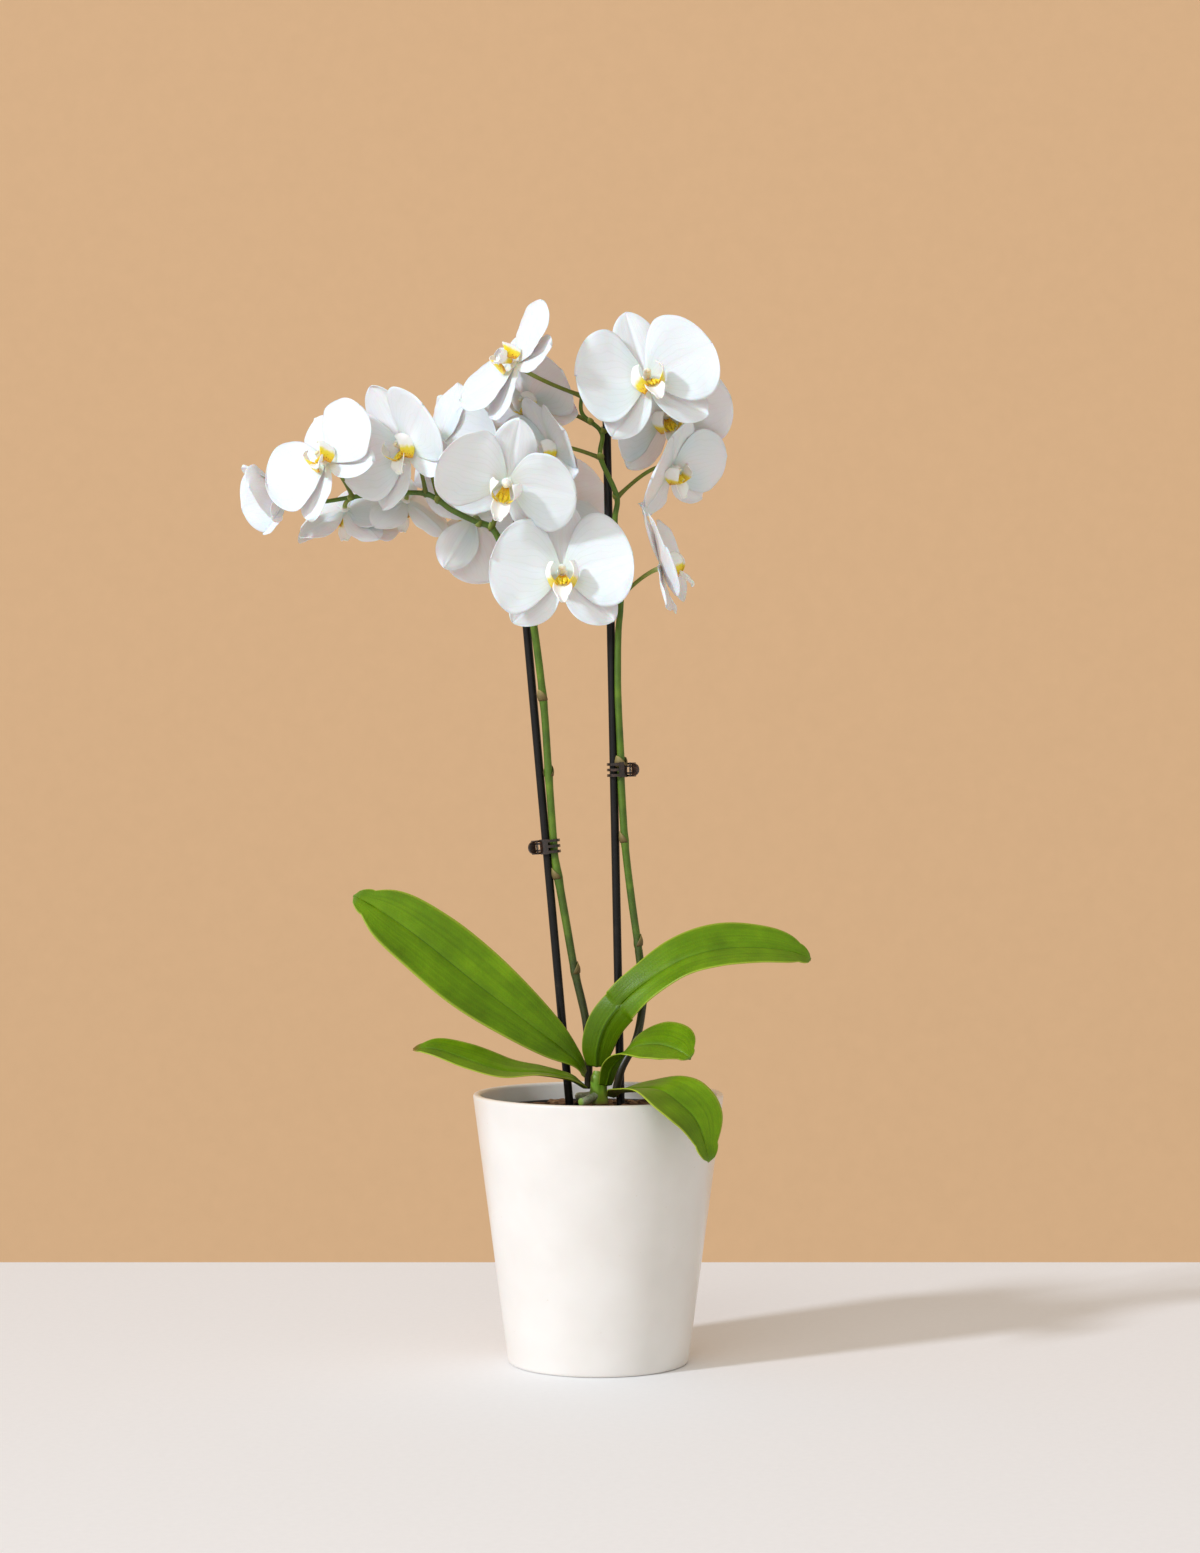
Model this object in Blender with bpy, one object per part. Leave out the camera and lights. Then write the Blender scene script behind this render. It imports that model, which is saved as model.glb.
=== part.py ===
"""Potted moth orchid: five leaves and two staked, clipped flower spikes in a glazed ceramic pot."""

import math

import bmesh
import bpy
from mathutils import Matrix, Vector

MM = 0.001

# Ceramic pot
POT_HEIGHT = 0.161
POT_TOP_RADIUS = 0.0756
POT_BASE_RADIUS = 0.0540
POT_WALL = 0.0045
POT_FLOOR = 0.0060
POT_EDGE_ROUND = 0.0020
POT_SEGMENTS = 48

# Plastic nursery pot that stands inside the ceramic one
NURSERY_WALL = 0.0012
NURSERY_SIDE_CLEARANCE = 0.0025
NURSERY_BELOW_RIM = 0.0100
NURSERY_LIP = 0.0016
DRAIN_HOLE_RADIUS = 0.0035
DRAIN_HOLE_RING = 0.0260
DRAIN_HOLE_COUNT = 5
DRAIN_HOLE_TURN = 0.11
NURSERY_SEGMENTS = 32

# Bark that fills the nursery pot
BARK_BELOW_RIM = 0.0140
BARK_MOUND = 0.0060
BARK_BUMP = 0.0012

# Gaps between pieces that touch
TOUCH = 0.0003
FIT = 0.0005

# Plant below the blooms
CROWN_RADIUS = 0.0065
CROWN_HEIGHT = 0.0200
ROOT_DIAMETER = 0.0050
LEAF_THICKNESS = 0.0018
LEAF_EDGE_THICKNESS = 0.0008
STEM_DIAMETER = 0.0045
PEDICEL_DIAMETER = 0.0026

# Stakes and the claw clips that hold the stems to them
STAKE_DIAMETER = 0.0050
STAKE_DEPTH = 0.1000
CLIP_HEIGHT = 0.0090
CLIP_WALL = 0.0011
CLIP_TAB_LENGTH = 0.0050
CLIP_PIN_RADIUS = 0.0005
CLIP_BARREL_RADIUS = 0.0012
CLIP_TAB_ANGLE = 40.0
SPRING_WIRE_RADIUS = 0.00016
SPRING_TURNS = 3
SPRING_STEPS = 20

# Blooms
BLOOM_SPAN = 0.0880
PETAL_THICKNESS = 0.0009
LIP_LENGTH = 0.0200

# Height of the spray above the rim, and where the spray opens out from
SPRAY_RISE = 0.2790
DRAWN_SPAN = 0.0880
DRAWN_LIP_LENGTH = 0.0200


def clear_scene():
    """Start from an empty scene."""
    for thing in list(bpy.data.objects):
        bpy.data.objects.remove(thing, do_unlink=True)


def make_material(name, rgb, roughness, metallic=0.0):
    """One Principled material with a plain colour."""
    material = bpy.data.materials.new(name)
    material.use_nodes = True
    shader = material.node_tree.nodes["Principled BSDF"]
    shader.inputs["Base Color"].default_value = (*rgb, 1.0)
    shader.inputs["Roughness"].default_value = roughness
    shader.inputs["Metallic"].default_value = metallic
    material.diffuse_color = (*rgb, 1.0)
    return material


def build_mesh(name, verts, faces):
    """A mesh with its faces pointing out."""
    mesh = bpy.data.meshes.new(name)
    mesh.from_pydata([tuple(v) for v in verts], [], faces)
    work = bmesh.new()
    work.from_mesh(mesh)
    bmesh.ops.recalc_face_normals(work, faces=work.faces)
    work.to_mesh(mesh)
    work.free()
    return mesh


def add_object(name, mesh, material=None, sharp_degrees=40.0):
    """Link one named object to the scene, shaded smooth except at its sharp edges."""
    thing = bpy.data.objects.new(name, mesh)
    bpy.context.collection.objects.link(thing)
    if material is not None:
        if mesh.materials:
            mesh.materials[0] = material
        else:
            mesh.materials.append(material)
    mesh.shade_smooth()
    mesh.set_sharp_from_angle(angle=math.radians(sharp_degrees))
    return thing


def combine(name, base_mesh, other_meshes, operation):
    """Boolean of one mesh with several others, as a new mesh."""
    base = bpy.data.objects.new(name + "_base", base_mesh)
    bpy.context.collection.objects.link(base)
    helpers = [base]
    for index, mesh in enumerate(other_meshes):
        other = bpy.data.objects.new(name + "_tool_" + str(index), mesh)
        bpy.context.collection.objects.link(other)
        other.hide_render = True
        other.display_type = "WIRE"
        helpers.append(other)
        boolean = base.modifiers.new("join_" + str(index), "BOOLEAN")
        boolean.operation = operation
        boolean.solver = "EXACT"
        boolean.object = other
    bpy.context.view_layer.update()
    graph = bpy.context.evaluated_depsgraph_get()
    result = bpy.data.meshes.new_from_object(base.evaluated_get(graph))
    result.name = name
    for helper in helpers:
        bpy.data.objects.remove(helper, do_unlink=True)
    return result


def ring_faces(rings, size):
    """Quads between neighbouring rings of points, with both ends capped."""
    faces = []
    for ring in range(rings - 1):
        for k in range(size):
            a = ring * size + k
            b = ring * size + (k + 1) % size
            faces.append((a, b, b + size, a + size))
    faces.append(tuple(range(size)))
    faces.append(tuple(range((rings - 1) * size, rings * size)))
    return faces


def turned(name, profile, segments):
    """A solid of revolution about Z; the profile starts and ends on the axis."""
    inner = profile[1:-1]
    verts = [Vector((0.0, 0.0, profile[0][1])), Vector((0.0, 0.0, profile[-1][1]))]
    for radius, height in inner:
        for k in range(segments):
            angle = 2.0 * math.pi * k / segments
            verts.append(Vector((radius * math.cos(angle), radius * math.sin(angle), height)))
    faces = []
    last = 2 + (len(inner) - 1) * segments
    for k in range(segments):
        n = (k + 1) % segments
        faces.append((0, 2 + n, 2 + k))
        faces.append((1, last + k, last + n))
        for ring in range(len(inner) - 1):
            a = 2 + ring * segments
            faces.append((a + k, a + n, a + segments + n, a + segments + k))
    return build_mesh(name, verts, faces)


def spline(points, count):
    """Points spread along a smooth Catmull-Rom curve through the given points."""
    ends = [points[0] * 2 - points[1]] + list(points) + [points[-1] * 2 - points[-2]]
    result = []
    spans = len(points) - 1
    for step in range(count):
        u = step * spans / (count - 1)
        i = min(int(u), spans - 1)
        t = u - i
        a, b, c, d = ends[i:i + 4]
        result.append(0.5 * (2 * b + (c - a) * t + (2 * a - 5 * b + 4 * c - d) * t ** 2
                             + (3 * b - a - 3 * c + d) * t ** 3))
    return result


def tube(name, points, radii, sides):
    """A round closed tube along the points, without twist."""
    verts = []
    across = Vector((1.0, 0.0, 0.0))
    for i, point in enumerate(points):
        ahead = points[min(i + 1, len(points) - 1)]
        behind = points[max(i - 1, 0)]
        along = (ahead - behind).normalized()
        if i == 0 and abs(along.dot(across)) > 0.9:
            across = Vector((0.0, 1.0, 0.0))
        across = (across - along * across.dot(along)).normalized()
        upward = along.cross(across)
        for k in range(sides):
            angle = 2.0 * math.pi * k / sides
            offset = across * math.cos(angle) + upward * math.sin(angle)
            verts.append(point + offset * radii[i])
    return build_mesh(name, verts, ring_faces(len(points), sides))


def blade(name, stations, across_count):
    """A thin closed leaf or petal from stations of centre, side, width, thickness, fold and curl.

    The fold lifts both halves like a V and the curl bends them like a gutter.
    """
    verts = []
    spread = [-1.0 + 2.0 * k / (across_count - 1) for k in range(across_count)]
    for i, (centre, side, half, thick, edge, fold, curl) in enumerate(stations):
        ahead = stations[min(i + 1, len(stations) - 1)][0]
        behind = stations[max(i - 1, 0)][0]
        along = (ahead - behind).normalized()
        side = (side - along * side.dot(along)).normalized()
        face = side.cross(along)
        front = []
        back = []
        for s in spread:
            lift = half * (fold * abs(s) + curl * s * s)
            middle = centre + side * (half * s) + face * lift
            depth = 0.5 * (edge + (thick - edge) * (1.0 - abs(s)))
            front.append(middle + face * depth)
            back.append(middle - face * depth)
        verts.extend(front + back[::-1])
    return build_mesh(name, verts, ring_faces(len(stations), 2 * across_count))


def rim_point(x, y, z):
    """A point given in millimetres from the middle of the pot's rim."""
    return Vector((x * MM, y * MM, POT_HEIGHT + z * MM))


def over_rim(share, beyond, azimuth, z):
    """A point at a share of the rim's radius plus some millimetres, round the pot."""
    radius = share * POT_TOP_RADIUS + beyond * MM
    angle = math.radians(azimuth)
    return Vector((radius * math.cos(angle), radius * math.sin(angle), POT_HEIGHT + z * MM))


def spray_point(x, y, z):
    """A point of the spray, in millimetres at the drawn bloom size; it opens out with the blooms."""
    stretch = MM * BLOOM_SPAN / DRAWN_SPAN
    return Vector((x * stretch, y * stretch, POT_HEIGHT + SPRAY_RISE + z * stretch))


def pot_outer(z):
    """Outer radius of the ceramic pot at a height."""
    return POT_BASE_RADIUS + (POT_TOP_RADIUS - POT_BASE_RADIUS) * z / POT_HEIGHT


def pot_inner(z):
    """Inner radius of the ceramic pot at a height."""
    return pot_outer(z) - POT_WALL


def nursery_outer(z):
    """Outer radius of the nursery pot's wall at a height."""
    return pot_inner(z) - NURSERY_SIDE_CLEARANCE - NURSERY_LIP


NURSERY_BOTTOM = POT_FLOOR + FIT
NURSERY_TOP = POT_HEIGHT - NURSERY_BELOW_RIM
BARK_BOTTOM = NURSERY_BOTTOM + NURSERY_WALL + FIT
BARK_EDGE = POT_HEIGHT - BARK_BELOW_RIM
BARK_RADIUS = nursery_outer(BARK_EDGE) - NURSERY_WALL - FIT


def bark_top(radius):
    """Highest level of the bark at a distance from the pot's axis."""
    return BARK_EDGE + BARK_MOUND * (1.0 - (radius / BARK_RADIUS) ** 2) + BARK_BUMP


def make_ceramic_pot():
    e = POT_EDGE_ROUND
    top = POT_TOP_RADIUS
    half = POT_WALL / 2
    profile = [
        (0.0, 0.0),
        (POT_BASE_RADIUS - 1.5 * e, 0.0),
        (POT_BASE_RADIUS - 0.3 * e, 0.4 * e),
        (pot_outer(1.3 * e), 1.3 * e),
        (pot_outer(POT_HEIGHT - e), POT_HEIGHT - e),
        (top - 0.3 * half, POT_HEIGHT - 0.35 * e),
        (top - half, POT_HEIGHT),
        (top - 1.7 * half, POT_HEIGHT - 0.35 * e),
        (pot_inner(POT_HEIGHT - e), POT_HEIGHT - e),
        (pot_inner(POT_FLOOR + 2 * e), POT_FLOOR + 2 * e),
        (pot_inner(POT_FLOOR) - 1.5 * e, POT_FLOOR),
        (0.0, POT_FLOOR),
    ]
    glaze = make_material("white_glaze", (0.90, 0.88, 0.85), 0.28)
    add_object("ceramic_pot", turned("ceramic_pot", profile, POT_SEGMENTS), glaze)


def make_nursery_pot():
    low = NURSERY_BOTTOM
    top = NURSERY_TOP
    wall = NURSERY_WALL
    lip = NURSERY_LIP
    profile = [
        (0.0, low),
        (nursery_outer(low), low),
        (nursery_outer(top - 3 * lip), top - 3 * lip),
        (nursery_outer(top - 2 * lip) + lip, top - 2 * lip),
        (nursery_outer(top) + lip, top),
        (nursery_outer(top) - wall, top),
        (nursery_outer(low + wall) - wall, low + wall),
        (0.0, low + wall),
    ]
    cup = turned("nursery_pot", profile, NURSERY_SEGMENTS)
    holes = []
    for k in range(DRAIN_HOLE_COUNT):
        angle = 2.0 * math.pi * k / DRAIN_HOLE_COUNT + DRAIN_HOLE_TURN
        x = DRAIN_HOLE_RING * math.cos(angle)
        y = DRAIN_HOLE_RING * math.sin(angle)
        ends = [Vector((x, y, low - wall)), Vector((x, y, low + 2 * wall))]
        holes.append(tube("drain_hole", ends, [DRAIN_HOLE_RADIUS] * 2, 10))
    cup = combine("nursery_pot", cup, holes, "DIFFERENCE")
    add_object("nursery_pot", cup, make_material("black_plastic", (0.03, 0.03, 0.03), 0.55))


# Each stake leans on a straight line: its place at the rim's level and its top in the spray
STAKES = {
    "left": (rim_point(-18.0, 6.0, 0.0), spray_point(-53.5, 6.0, 116.0)),
    "right": (rim_point(13.3, 4.5, 0.0), spray_point(4.8, 4.5, 132.0)),
}
STAKE_SIDES = 12


def stake_at(side, z):
    """Point on a stake's axis at a height."""
    foot, top = STAKES[side]
    return foot + (top - foot) * ((z - foot.z) / (top.z - foot.z))


def stake_tube(name, side, grow):
    """The stake itself, or the bore that clears it by the given growth."""
    foot, top = STAKES[side]
    low = stake_at(side, POT_HEIGHT - STAKE_DEPTH - grow)
    return tube(name, [low, top], [STAKE_DIAMETER / 2 + grow] * 2, STAKE_SIDES)


def make_bark():
    low = BARK_BOTTOM
    floor_radius = nursery_outer(low) - NURSERY_WALL - FIT
    profile = [(0.0, low), (floor_radius, low), (BARK_RADIUS, BARK_EDGE)]
    for share in (0.82, 0.62, 0.42, 0.22):
        radius = BARK_RADIUS * share
        profile.append((radius, bark_top(radius) - BARK_BUMP))
    profile.append((0.0, bark_top(0.0) - BARK_BUMP))
    bark = turned("potting_bark", profile, NURSERY_SEGMENTS)
    for vert in bark.vertices:
        radius = math.hypot(vert.co.x, vert.co.y)
        if vert.co.z > BARK_EDGE + TOUCH and radius > TOUCH:
            angle = math.atan2(vert.co.y, vert.co.x)
            vert.co.z += BARK_BUMP * math.sin(7 * angle + 300 * radius) * math.cos(11 * angle)
    bores = [stake_tube("bore", side, FIT) for side in STAKES]
    bark = combine("potting_bark", bark, bores, "DIFFERENCE")
    add_object("potting_bark", bark, make_material("pine_bark", (0.16, 0.09, 0.05), 0.9))


def make_stakes():
    coat = make_material("dark_stake_coating", (0.02, 0.015, 0.012), 0.4)
    for side in STAKES:
        add_object("stake_" + side, stake_tube("stake_" + side, side, 0.0), coat)


def make_crown():
    base = bark_top(0.0) + FIT
    trunk = [Vector((0.0, 0.0, base)), Vector((0.0, 0.0, base + CROWN_HEIGHT))]
    body = tube("crown", trunk, [CROWN_RADIUS, 0.8 * CROWN_RADIUS], 12)
    roots = []
    half = ROOT_DIAMETER / 2
    for azimuth, length in ((-122.0, 0.021), (82.0, 0.026), (124.0, 0.022)):
        angle = math.radians(azimuth)
        outward = Vector((math.cos(angle), math.sin(angle), 0.0))
        level = base + half + TOUCH
        points = [
            Vector((0.0, 0.0, level + half)),
            outward * (0.45 * length) + Vector((0.0, 0.0, level + 0.3 * half)),
            outward * (0.8 * length) + Vector((0.0, 0.0, level)),
            outward * length + Vector((0.0, 0.0, level)),
        ]
        roots.append(tube("root", points, [half, half, half, 0.45 * half], 8))
    crown = combine("crown", body, roots, "UNION")
    add_object("crown", crown, make_material("crown_green", (0.30, 0.36, 0.16), 0.5))


# Leaf stations: centre, direction of the far edge, half width in millimetres
LEAVES = {
    "leaf_upper_left": [
        (rim_point(-8.5, -3.0, 11.0), (0.1, 1.0, 0.3), 4.5),
        (rim_point(-13.5, -5.0, 19.5), (0.3, 0.8, 0.5), 6.5),
        (rim_point(-27.0, -8.0, 31.0), (0.5, 0.5, 0.7), 12.0),
        (rim_point(-50.0, -12.0, 49.0), (0.5, 0.45, 0.75), 18.0),
        (rim_point(-76.0, -14.0, 69.0), (0.5, 0.45, 0.75), 22.0),
        (rim_point(-102.0, -14.0, 90.0), (0.5, 0.45, 0.75), 21.5),
        (rim_point(-127.0, -13.0, 108.0), (0.5, 0.45, 0.75), 16.5),
        (rim_point(-146.0, -12.0, 119.0), (0.5, 0.45, 0.75), 1.2),
    ],
    "leaf_lower_left": [
        (rim_point(-8.0, -9.5, 4.5), (-0.6, 0.6, 0.4), 3.5),
        (rim_point(-17.0, -14.0, 10.0), (0.0, 0.95, 0.15), 6.5),
        (rim_point(-34.0, -19.0, 13.5), (0.1, 0.95, 0.12), 12.0),
        (rim_point(-56.0, -22.0, 15.0), (0.1, 0.9, 0.28), 15.0),
        (rim_point(-78.0, -23.0, 22.0), (0.0, 0.85, 0.5), 13.0),
        (rim_point(-97.0, -22.0, 28.0), (0.0, 0.85, 0.5), 9.0),
        (rim_point(-110.0, -20.0, 28.0), (0.0, 0.9, 0.4), 1.2),
    ],
    "leaf_upper_right": [
        (rim_point(-1.0, -1.0, 16.0), (1.0, -0.1, 0.0), 6.0),
        (rim_point(-0.5, -4.0, 27.0), (1.0, 0.0, -0.1), 9.5),
        (rim_point(4.0, -8.0, 41.0), (0.95, -0.1, -0.2), 11.0),
        (rim_point(14.0, -13.0, 54.5), (0.8, -0.35, -0.45), 11.5),
        (rim_point(28.0, -16.0, 67.0), (0.55, -0.6, -0.55), 13.0),
        (rim_point(49.0, -16.0, 80.5), (0.2, -0.75, -0.6), 17.0),
        (rim_point(72.0, -14.0, 87.0), (0.0, -0.8, -0.6), 19.5),
        (rim_point(95.0, -12.0, 88.0), (0.0, -0.8, -0.6), 17.5),
        (rim_point(114.0, -10.0, 85.5), (0.0, -0.8, -0.6), 13.0),
        (rim_point(127.0, -8.0, 80.5), (0.0, -0.8, -0.6), 1.2),
    ],
    "leaf_middle_right": [
        (rim_point(4.5, -9.0, 5.5), (0.9, 0.5, 0.0), 4.5),
        (rim_point(8.5, -13.5, 18.0), (0.8, 0.6, 0.1), 7.0),
        (rim_point(20.0, -20.0, 28.5), (0.4, 0.8, 0.4), 12.5),
        (rim_point(34.0, -29.0, 31.5), (0.25, 0.8, 0.5), 18.0),
        (rim_point(46.0, -37.0, 29.0), (0.3, 0.8, 0.5), 17.0),
        (rim_point(54.0, -42.0, 24.5), (0.35, 0.75, 0.5), 1.5),
    ],
    "leaf_front_right": [
        (over_rim(0.16, 0.0, -42.0, -1.0), (0.7, 0.7, 0.0), 4.0),
        (over_rim(0.34, 0.0, -58.0, 3.5), (0.75, 0.65, 0.1), 8.5),
        (over_rim(0.66, 0.0, -64.0, 6.5), (0.75, 0.62, 0.12), 14.0),
        (over_rim(1.0, -2.5, -61.0, 8.0), (0.72, 0.65, 0.15), 19.5),
        (over_rim(1.0, 11.0, -58.0, 2.0), (0.66, 0.70, 0.22), 22.5),
        (over_rim(1.0, 22.0, -54.5, -9.0), (0.66, 0.70, 0.22), 18.0),
        (over_rim(1.0, 30.0, -53.0, -31.0), (0.66, 0.70, 0.22), 1.5),
    ],
}
LEAF_RINGS = 12


def make_leaves():
    green = make_material("leaf_green", (0.12, 0.28, 0.03), 0.35)
    for name, drawn in LEAVES.items():
        centres = spline([row[0] for row in drawn], LEAF_RINGS)
        sides = spline([Vector(row[1]) for row in drawn], LEAF_RINGS)
        halves = spline([Vector((row[2] * MM, 0.0, 0.0)) for row in drawn], LEAF_RINGS)
        stations = []
        for centre, side, half in zip(centres, sides, halves):
            width = max(half.x, MM)
            stations.append((centre, side, width, LEAF_THICKNESS, LEAF_EDGE_THICKNESS, 0.10, 0.0))
        add_object(name, blade(name, stations, 5), green)


# Claw clips: the stake and the stem lie side by side in the claws, and the tabs point the other way
CLIPS = {
    "left": {"z": POT_HEIGHT + 0.1480, "stem_side": -20.0, "tabs": -1.0},
    "right": {"z": POT_HEIGHT + 0.1940, "stem_side": -30.0, "tabs": 1.0},
}
BUNDLE_WIDTH = STAKE_DIAMETER + STEM_DIAMETER + TOUCH
CLAW_INNER = BUNDLE_WIDTH / 2 + TOUCH
CLAW_OUTER = CLAW_INNER + CLIP_WALL
HINGE_REACH = CLAW_OUTER + CLIP_BARREL_RADIUS + TOUCH

# Jaw: arcs in degrees from the hinge side, and the levels of its claws as shares of its height
SPINE_ARC = (15.0, 80.0)
CLAW_ARC = (70.0, 170.0)
CLAW_LEVELS = (-0.37, 0.0, 0.37)
CLAW_WIDTH = 0.18 * CLIP_HEIGHT
TAB_WIDTH = 0.84 * CLIP_HEIGHT
TAB_ROUND_STEPS = 8
WEB_ROOT_ANGLE = 20.0
WEB_WALL = 0.8 * CLIP_WALL
BACK_KNUCKLES = [(-0.47, -0.33), (0.33, 0.47)]
FRONT_KNUCKLES = [(-0.30, -0.16), (0.16, 0.30)]
PIN_LENGTH = 0.96 * CLIP_HEIGHT


def stem_offset(side):
    """From the stake's axis to the stem's axis where the clip holds them."""
    angle = math.radians(CLIPS[side]["stem_side"])
    reach = (STAKE_DIAMETER + STEM_DIAMETER) / 2 + TOUCH
    return Vector((math.cos(angle), math.sin(angle), 0.0)) * reach


def clip_frame(side):
    """Clip frame: X from the bundle to the hinge, Z along the stake."""
    foot, top = STAKES[side]
    along = (top - foot).normalized()
    offset = stem_offset(side)
    middle = 0.5 + (STEM_DIAMETER - STAKE_DIAMETER) / (4 * offset.length)
    centre = stake_at(side, CLIPS[side]["z"]) + offset * middle
    across = Vector((CLIPS[side]["tabs"], 0.0, 0.0))
    across = (across - along * across.dot(along)).normalized()
    behind = along.cross(across)
    turn = Matrix((across, behind, along)).transposed().to_4x4()
    return Matrix.Translation(centre) @ turn


def prism(name, outline, low, high):
    """An outline in XY made into a solid from one height to another."""
    verts = [Vector((x, y, low)) for x, y in outline] + [Vector((x, y, high)) for x, y in outline]
    return build_mesh(name, verts, ring_faces(2, len(outline)))


def arc_outline(inner, outer, start, end, steps):
    """Outline of a curved strip between two angles in degrees."""
    angles = [math.radians(start + (end - start) * k / steps) for k in range(steps + 1)]
    outside = [(outer * math.cos(a), outer * math.sin(a)) for a in angles]
    inside = [(inner * math.cos(a), inner * math.sin(a)) for a in reversed(angles)]
    return outside + inside


def bar_outline(start, end, width):
    """Outline of a straight strip from one point to another."""
    along = Vector((end[0] - start[0], end[1] - start[1])).normalized()
    out = Vector((-along.y, along.x)) * (width / 2)
    a = Vector(start)
    b = Vector(end)
    return [tuple(a + out), tuple(a - out), tuple(b - out), tuple(b + out)]


def disc_outline(centre, radius, steps):
    """Outline of a round boss."""
    return [(centre[0] + radius * math.cos(2 * math.pi * k / steps),
             centre[1] + radius * math.sin(2 * math.pi * k / steps)) for k in range(steps)]


def tab_outline(start, end):
    """Outline of a thumb tab along its length, round at its free end."""
    half = TAB_WIDTH / 2
    middle = end - half
    outline = [(start, half), (start, -half)]
    for k in range(TAB_ROUND_STEPS + 1):
        angle = math.pi * (k / TAB_ROUND_STEPS - 0.5)
        outline.append((middle + half * math.cos(angle), half * math.sin(angle)))
    return outline


def make_jaw(name, mirror, knuckles, frame, material):
    """One jaw: spine plate, three claws, thumb tab and its own knuckles; mirror is 1 or -1 in Y."""
    tall = CLIP_HEIGHT / 2
    middle = (CLAW_INNER + CLAW_OUTER) / 2
    hinge = (HINGE_REACH, 0.0)
    clear = CLIP_BARREL_RADIUS + FIT
    tab = math.radians(CLIP_TAB_ANGLE)
    tab_start = (hinge[0] + clear * math.cos(tab), clear * math.sin(tab))
    tab_reach = clear + CLIP_TAB_LENGTH
    tab_end = (hinge[0] + tab_reach * math.cos(tab), tab_reach * math.sin(tab))
    tab_middle = ((tab_start[0] + tab_end[0]) / 2, (tab_start[1] + tab_end[1]) / 2)
    root = math.radians(WEB_ROOT_ANGLE)
    plate_point = (middle * math.cos(root), middle * math.sin(root))
    body = prism(name, arc_outline(CLAW_INNER, CLAW_OUTER, *SPINE_ARC, 4), -tall, tall)
    parts = []
    for level in CLAW_LEVELS:
        claw = arc_outline(CLAW_INNER, CLAW_OUTER, *CLAW_ARC, 5)
        mid = level * CLIP_HEIGHT
        parts.append(prism("claw", claw, mid - CLAW_WIDTH / 2, mid + CLAW_WIDTH / 2))
    plate = prism("tab", tab_outline(clear, tab_reach), -CLIP_WALL / 2, CLIP_WALL / 2)
    out = Vector((math.cos(tab), math.sin(tab), 0.0))
    up = Vector((0.0, 0.0, 1.0))
    stand = Matrix((out, up, out.cross(up))).transposed().to_4x4()
    plate.transform(Matrix.Translation(Vector((*hinge, 0.0))) @ stand)
    parts.append(plate)
    for low, high in knuckles:
        low = low * CLIP_HEIGHT
        high = high * CLIP_HEIGHT
        parts.append(prism("knuckle", disc_outline(hinge, CLIP_BARREL_RADIUS, 9), low, high))
        web = bar_outline(plate_point, (hinge[0], 0.5 * CLIP_BARREL_RADIUS), WEB_WALL)
        parts.append(prism("web", web, low, high))
        inner_tab = (hinge[0] + 0.3 * clear * math.cos(tab), 0.3 * clear * math.sin(tab))
        parts.append(prism("web", bar_outline(inner_tab, tab_middle, WEB_WALL), low, high))
    solid = combine(name, body, parts, "UNION")
    bore = prism("bore", disc_outline(hinge, CLIP_PIN_RADIUS + TOUCH, 8), -CLIP_HEIGHT, CLIP_HEIGHT)
    solid = combine(name, solid, [bore], "DIFFERENCE")
    if mirror < 0:
        solid.transform(Matrix.Diagonal((1.0, -1.0, 1.0, 1.0)))
        solid.flip_normals()
    jaw = add_object(name, solid, material)
    jaw.matrix_world = frame
    return jaw


def spring_points():
    """A small torsion spring round the pin, whose short legs stay inside the knuckles' clearance."""
    coil = CLIP_PIN_RADIUS + TOUCH + SPRING_WIRE_RADIUS
    leg = CLIP_BARREL_RADIUS + FIT - SPRING_WIRE_RADIUS - TOUCH
    half = 0.12 * CLIP_HEIGHT
    tab = math.radians(CLIP_TAB_ANGLE)
    points = [Vector((leg * math.cos(tab), leg * math.sin(tab), -half))]
    for k in range(SPRING_STEPS + 1):
        share = k / SPRING_STEPS
        angle = -math.pi / 3 - (2 * math.pi * SPRING_TURNS - math.pi / 1.5) * share
        points.append(Vector((coil * math.cos(angle), coil * math.sin(angle), half * (2 * share - 1))))
    points.append(Vector((leg * math.cos(tab), -leg * math.sin(tab), half)))
    return points


def make_clips():
    shell = make_material("dark_clip_plastic", (0.05, 0.025, 0.015), 0.3)
    steel = make_material("pin_steel", (0.6, 0.6, 0.6), 0.3, 1.0)
    for side in CLIPS:
        frame = clip_frame(side)
        back = CLIPS[side]["tabs"]
        make_jaw("clip_" + side + "_back_jaw", back, BACK_KNUCKLES, frame, shell)
        make_jaw("clip_" + side + "_front_jaw", -back, FRONT_KNUCKLES, frame, shell)
        outline = disc_outline((0.0, 0.0), CLIP_PIN_RADIUS, 8)
        pin = prism("pin", outline, -PIN_LENGTH / 2, PIN_LENGTH / 2)
        pin_object = add_object("clip_" + side + "_pin", pin, steel)
        pin_object.matrix_world = frame @ Matrix.Translation((HINGE_REACH, 0.0, 0.0))
        points = spring_points()
        spring = tube("spring", points, [SPRING_WIRE_RADIUS] * len(points), 4)
        spring_object = add_object("clip_" + side + "_spring", spring, steel)
        spring_object.matrix_world = frame @ Matrix.Translation((HINGE_REACH, 0.0, 0.0))


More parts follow.
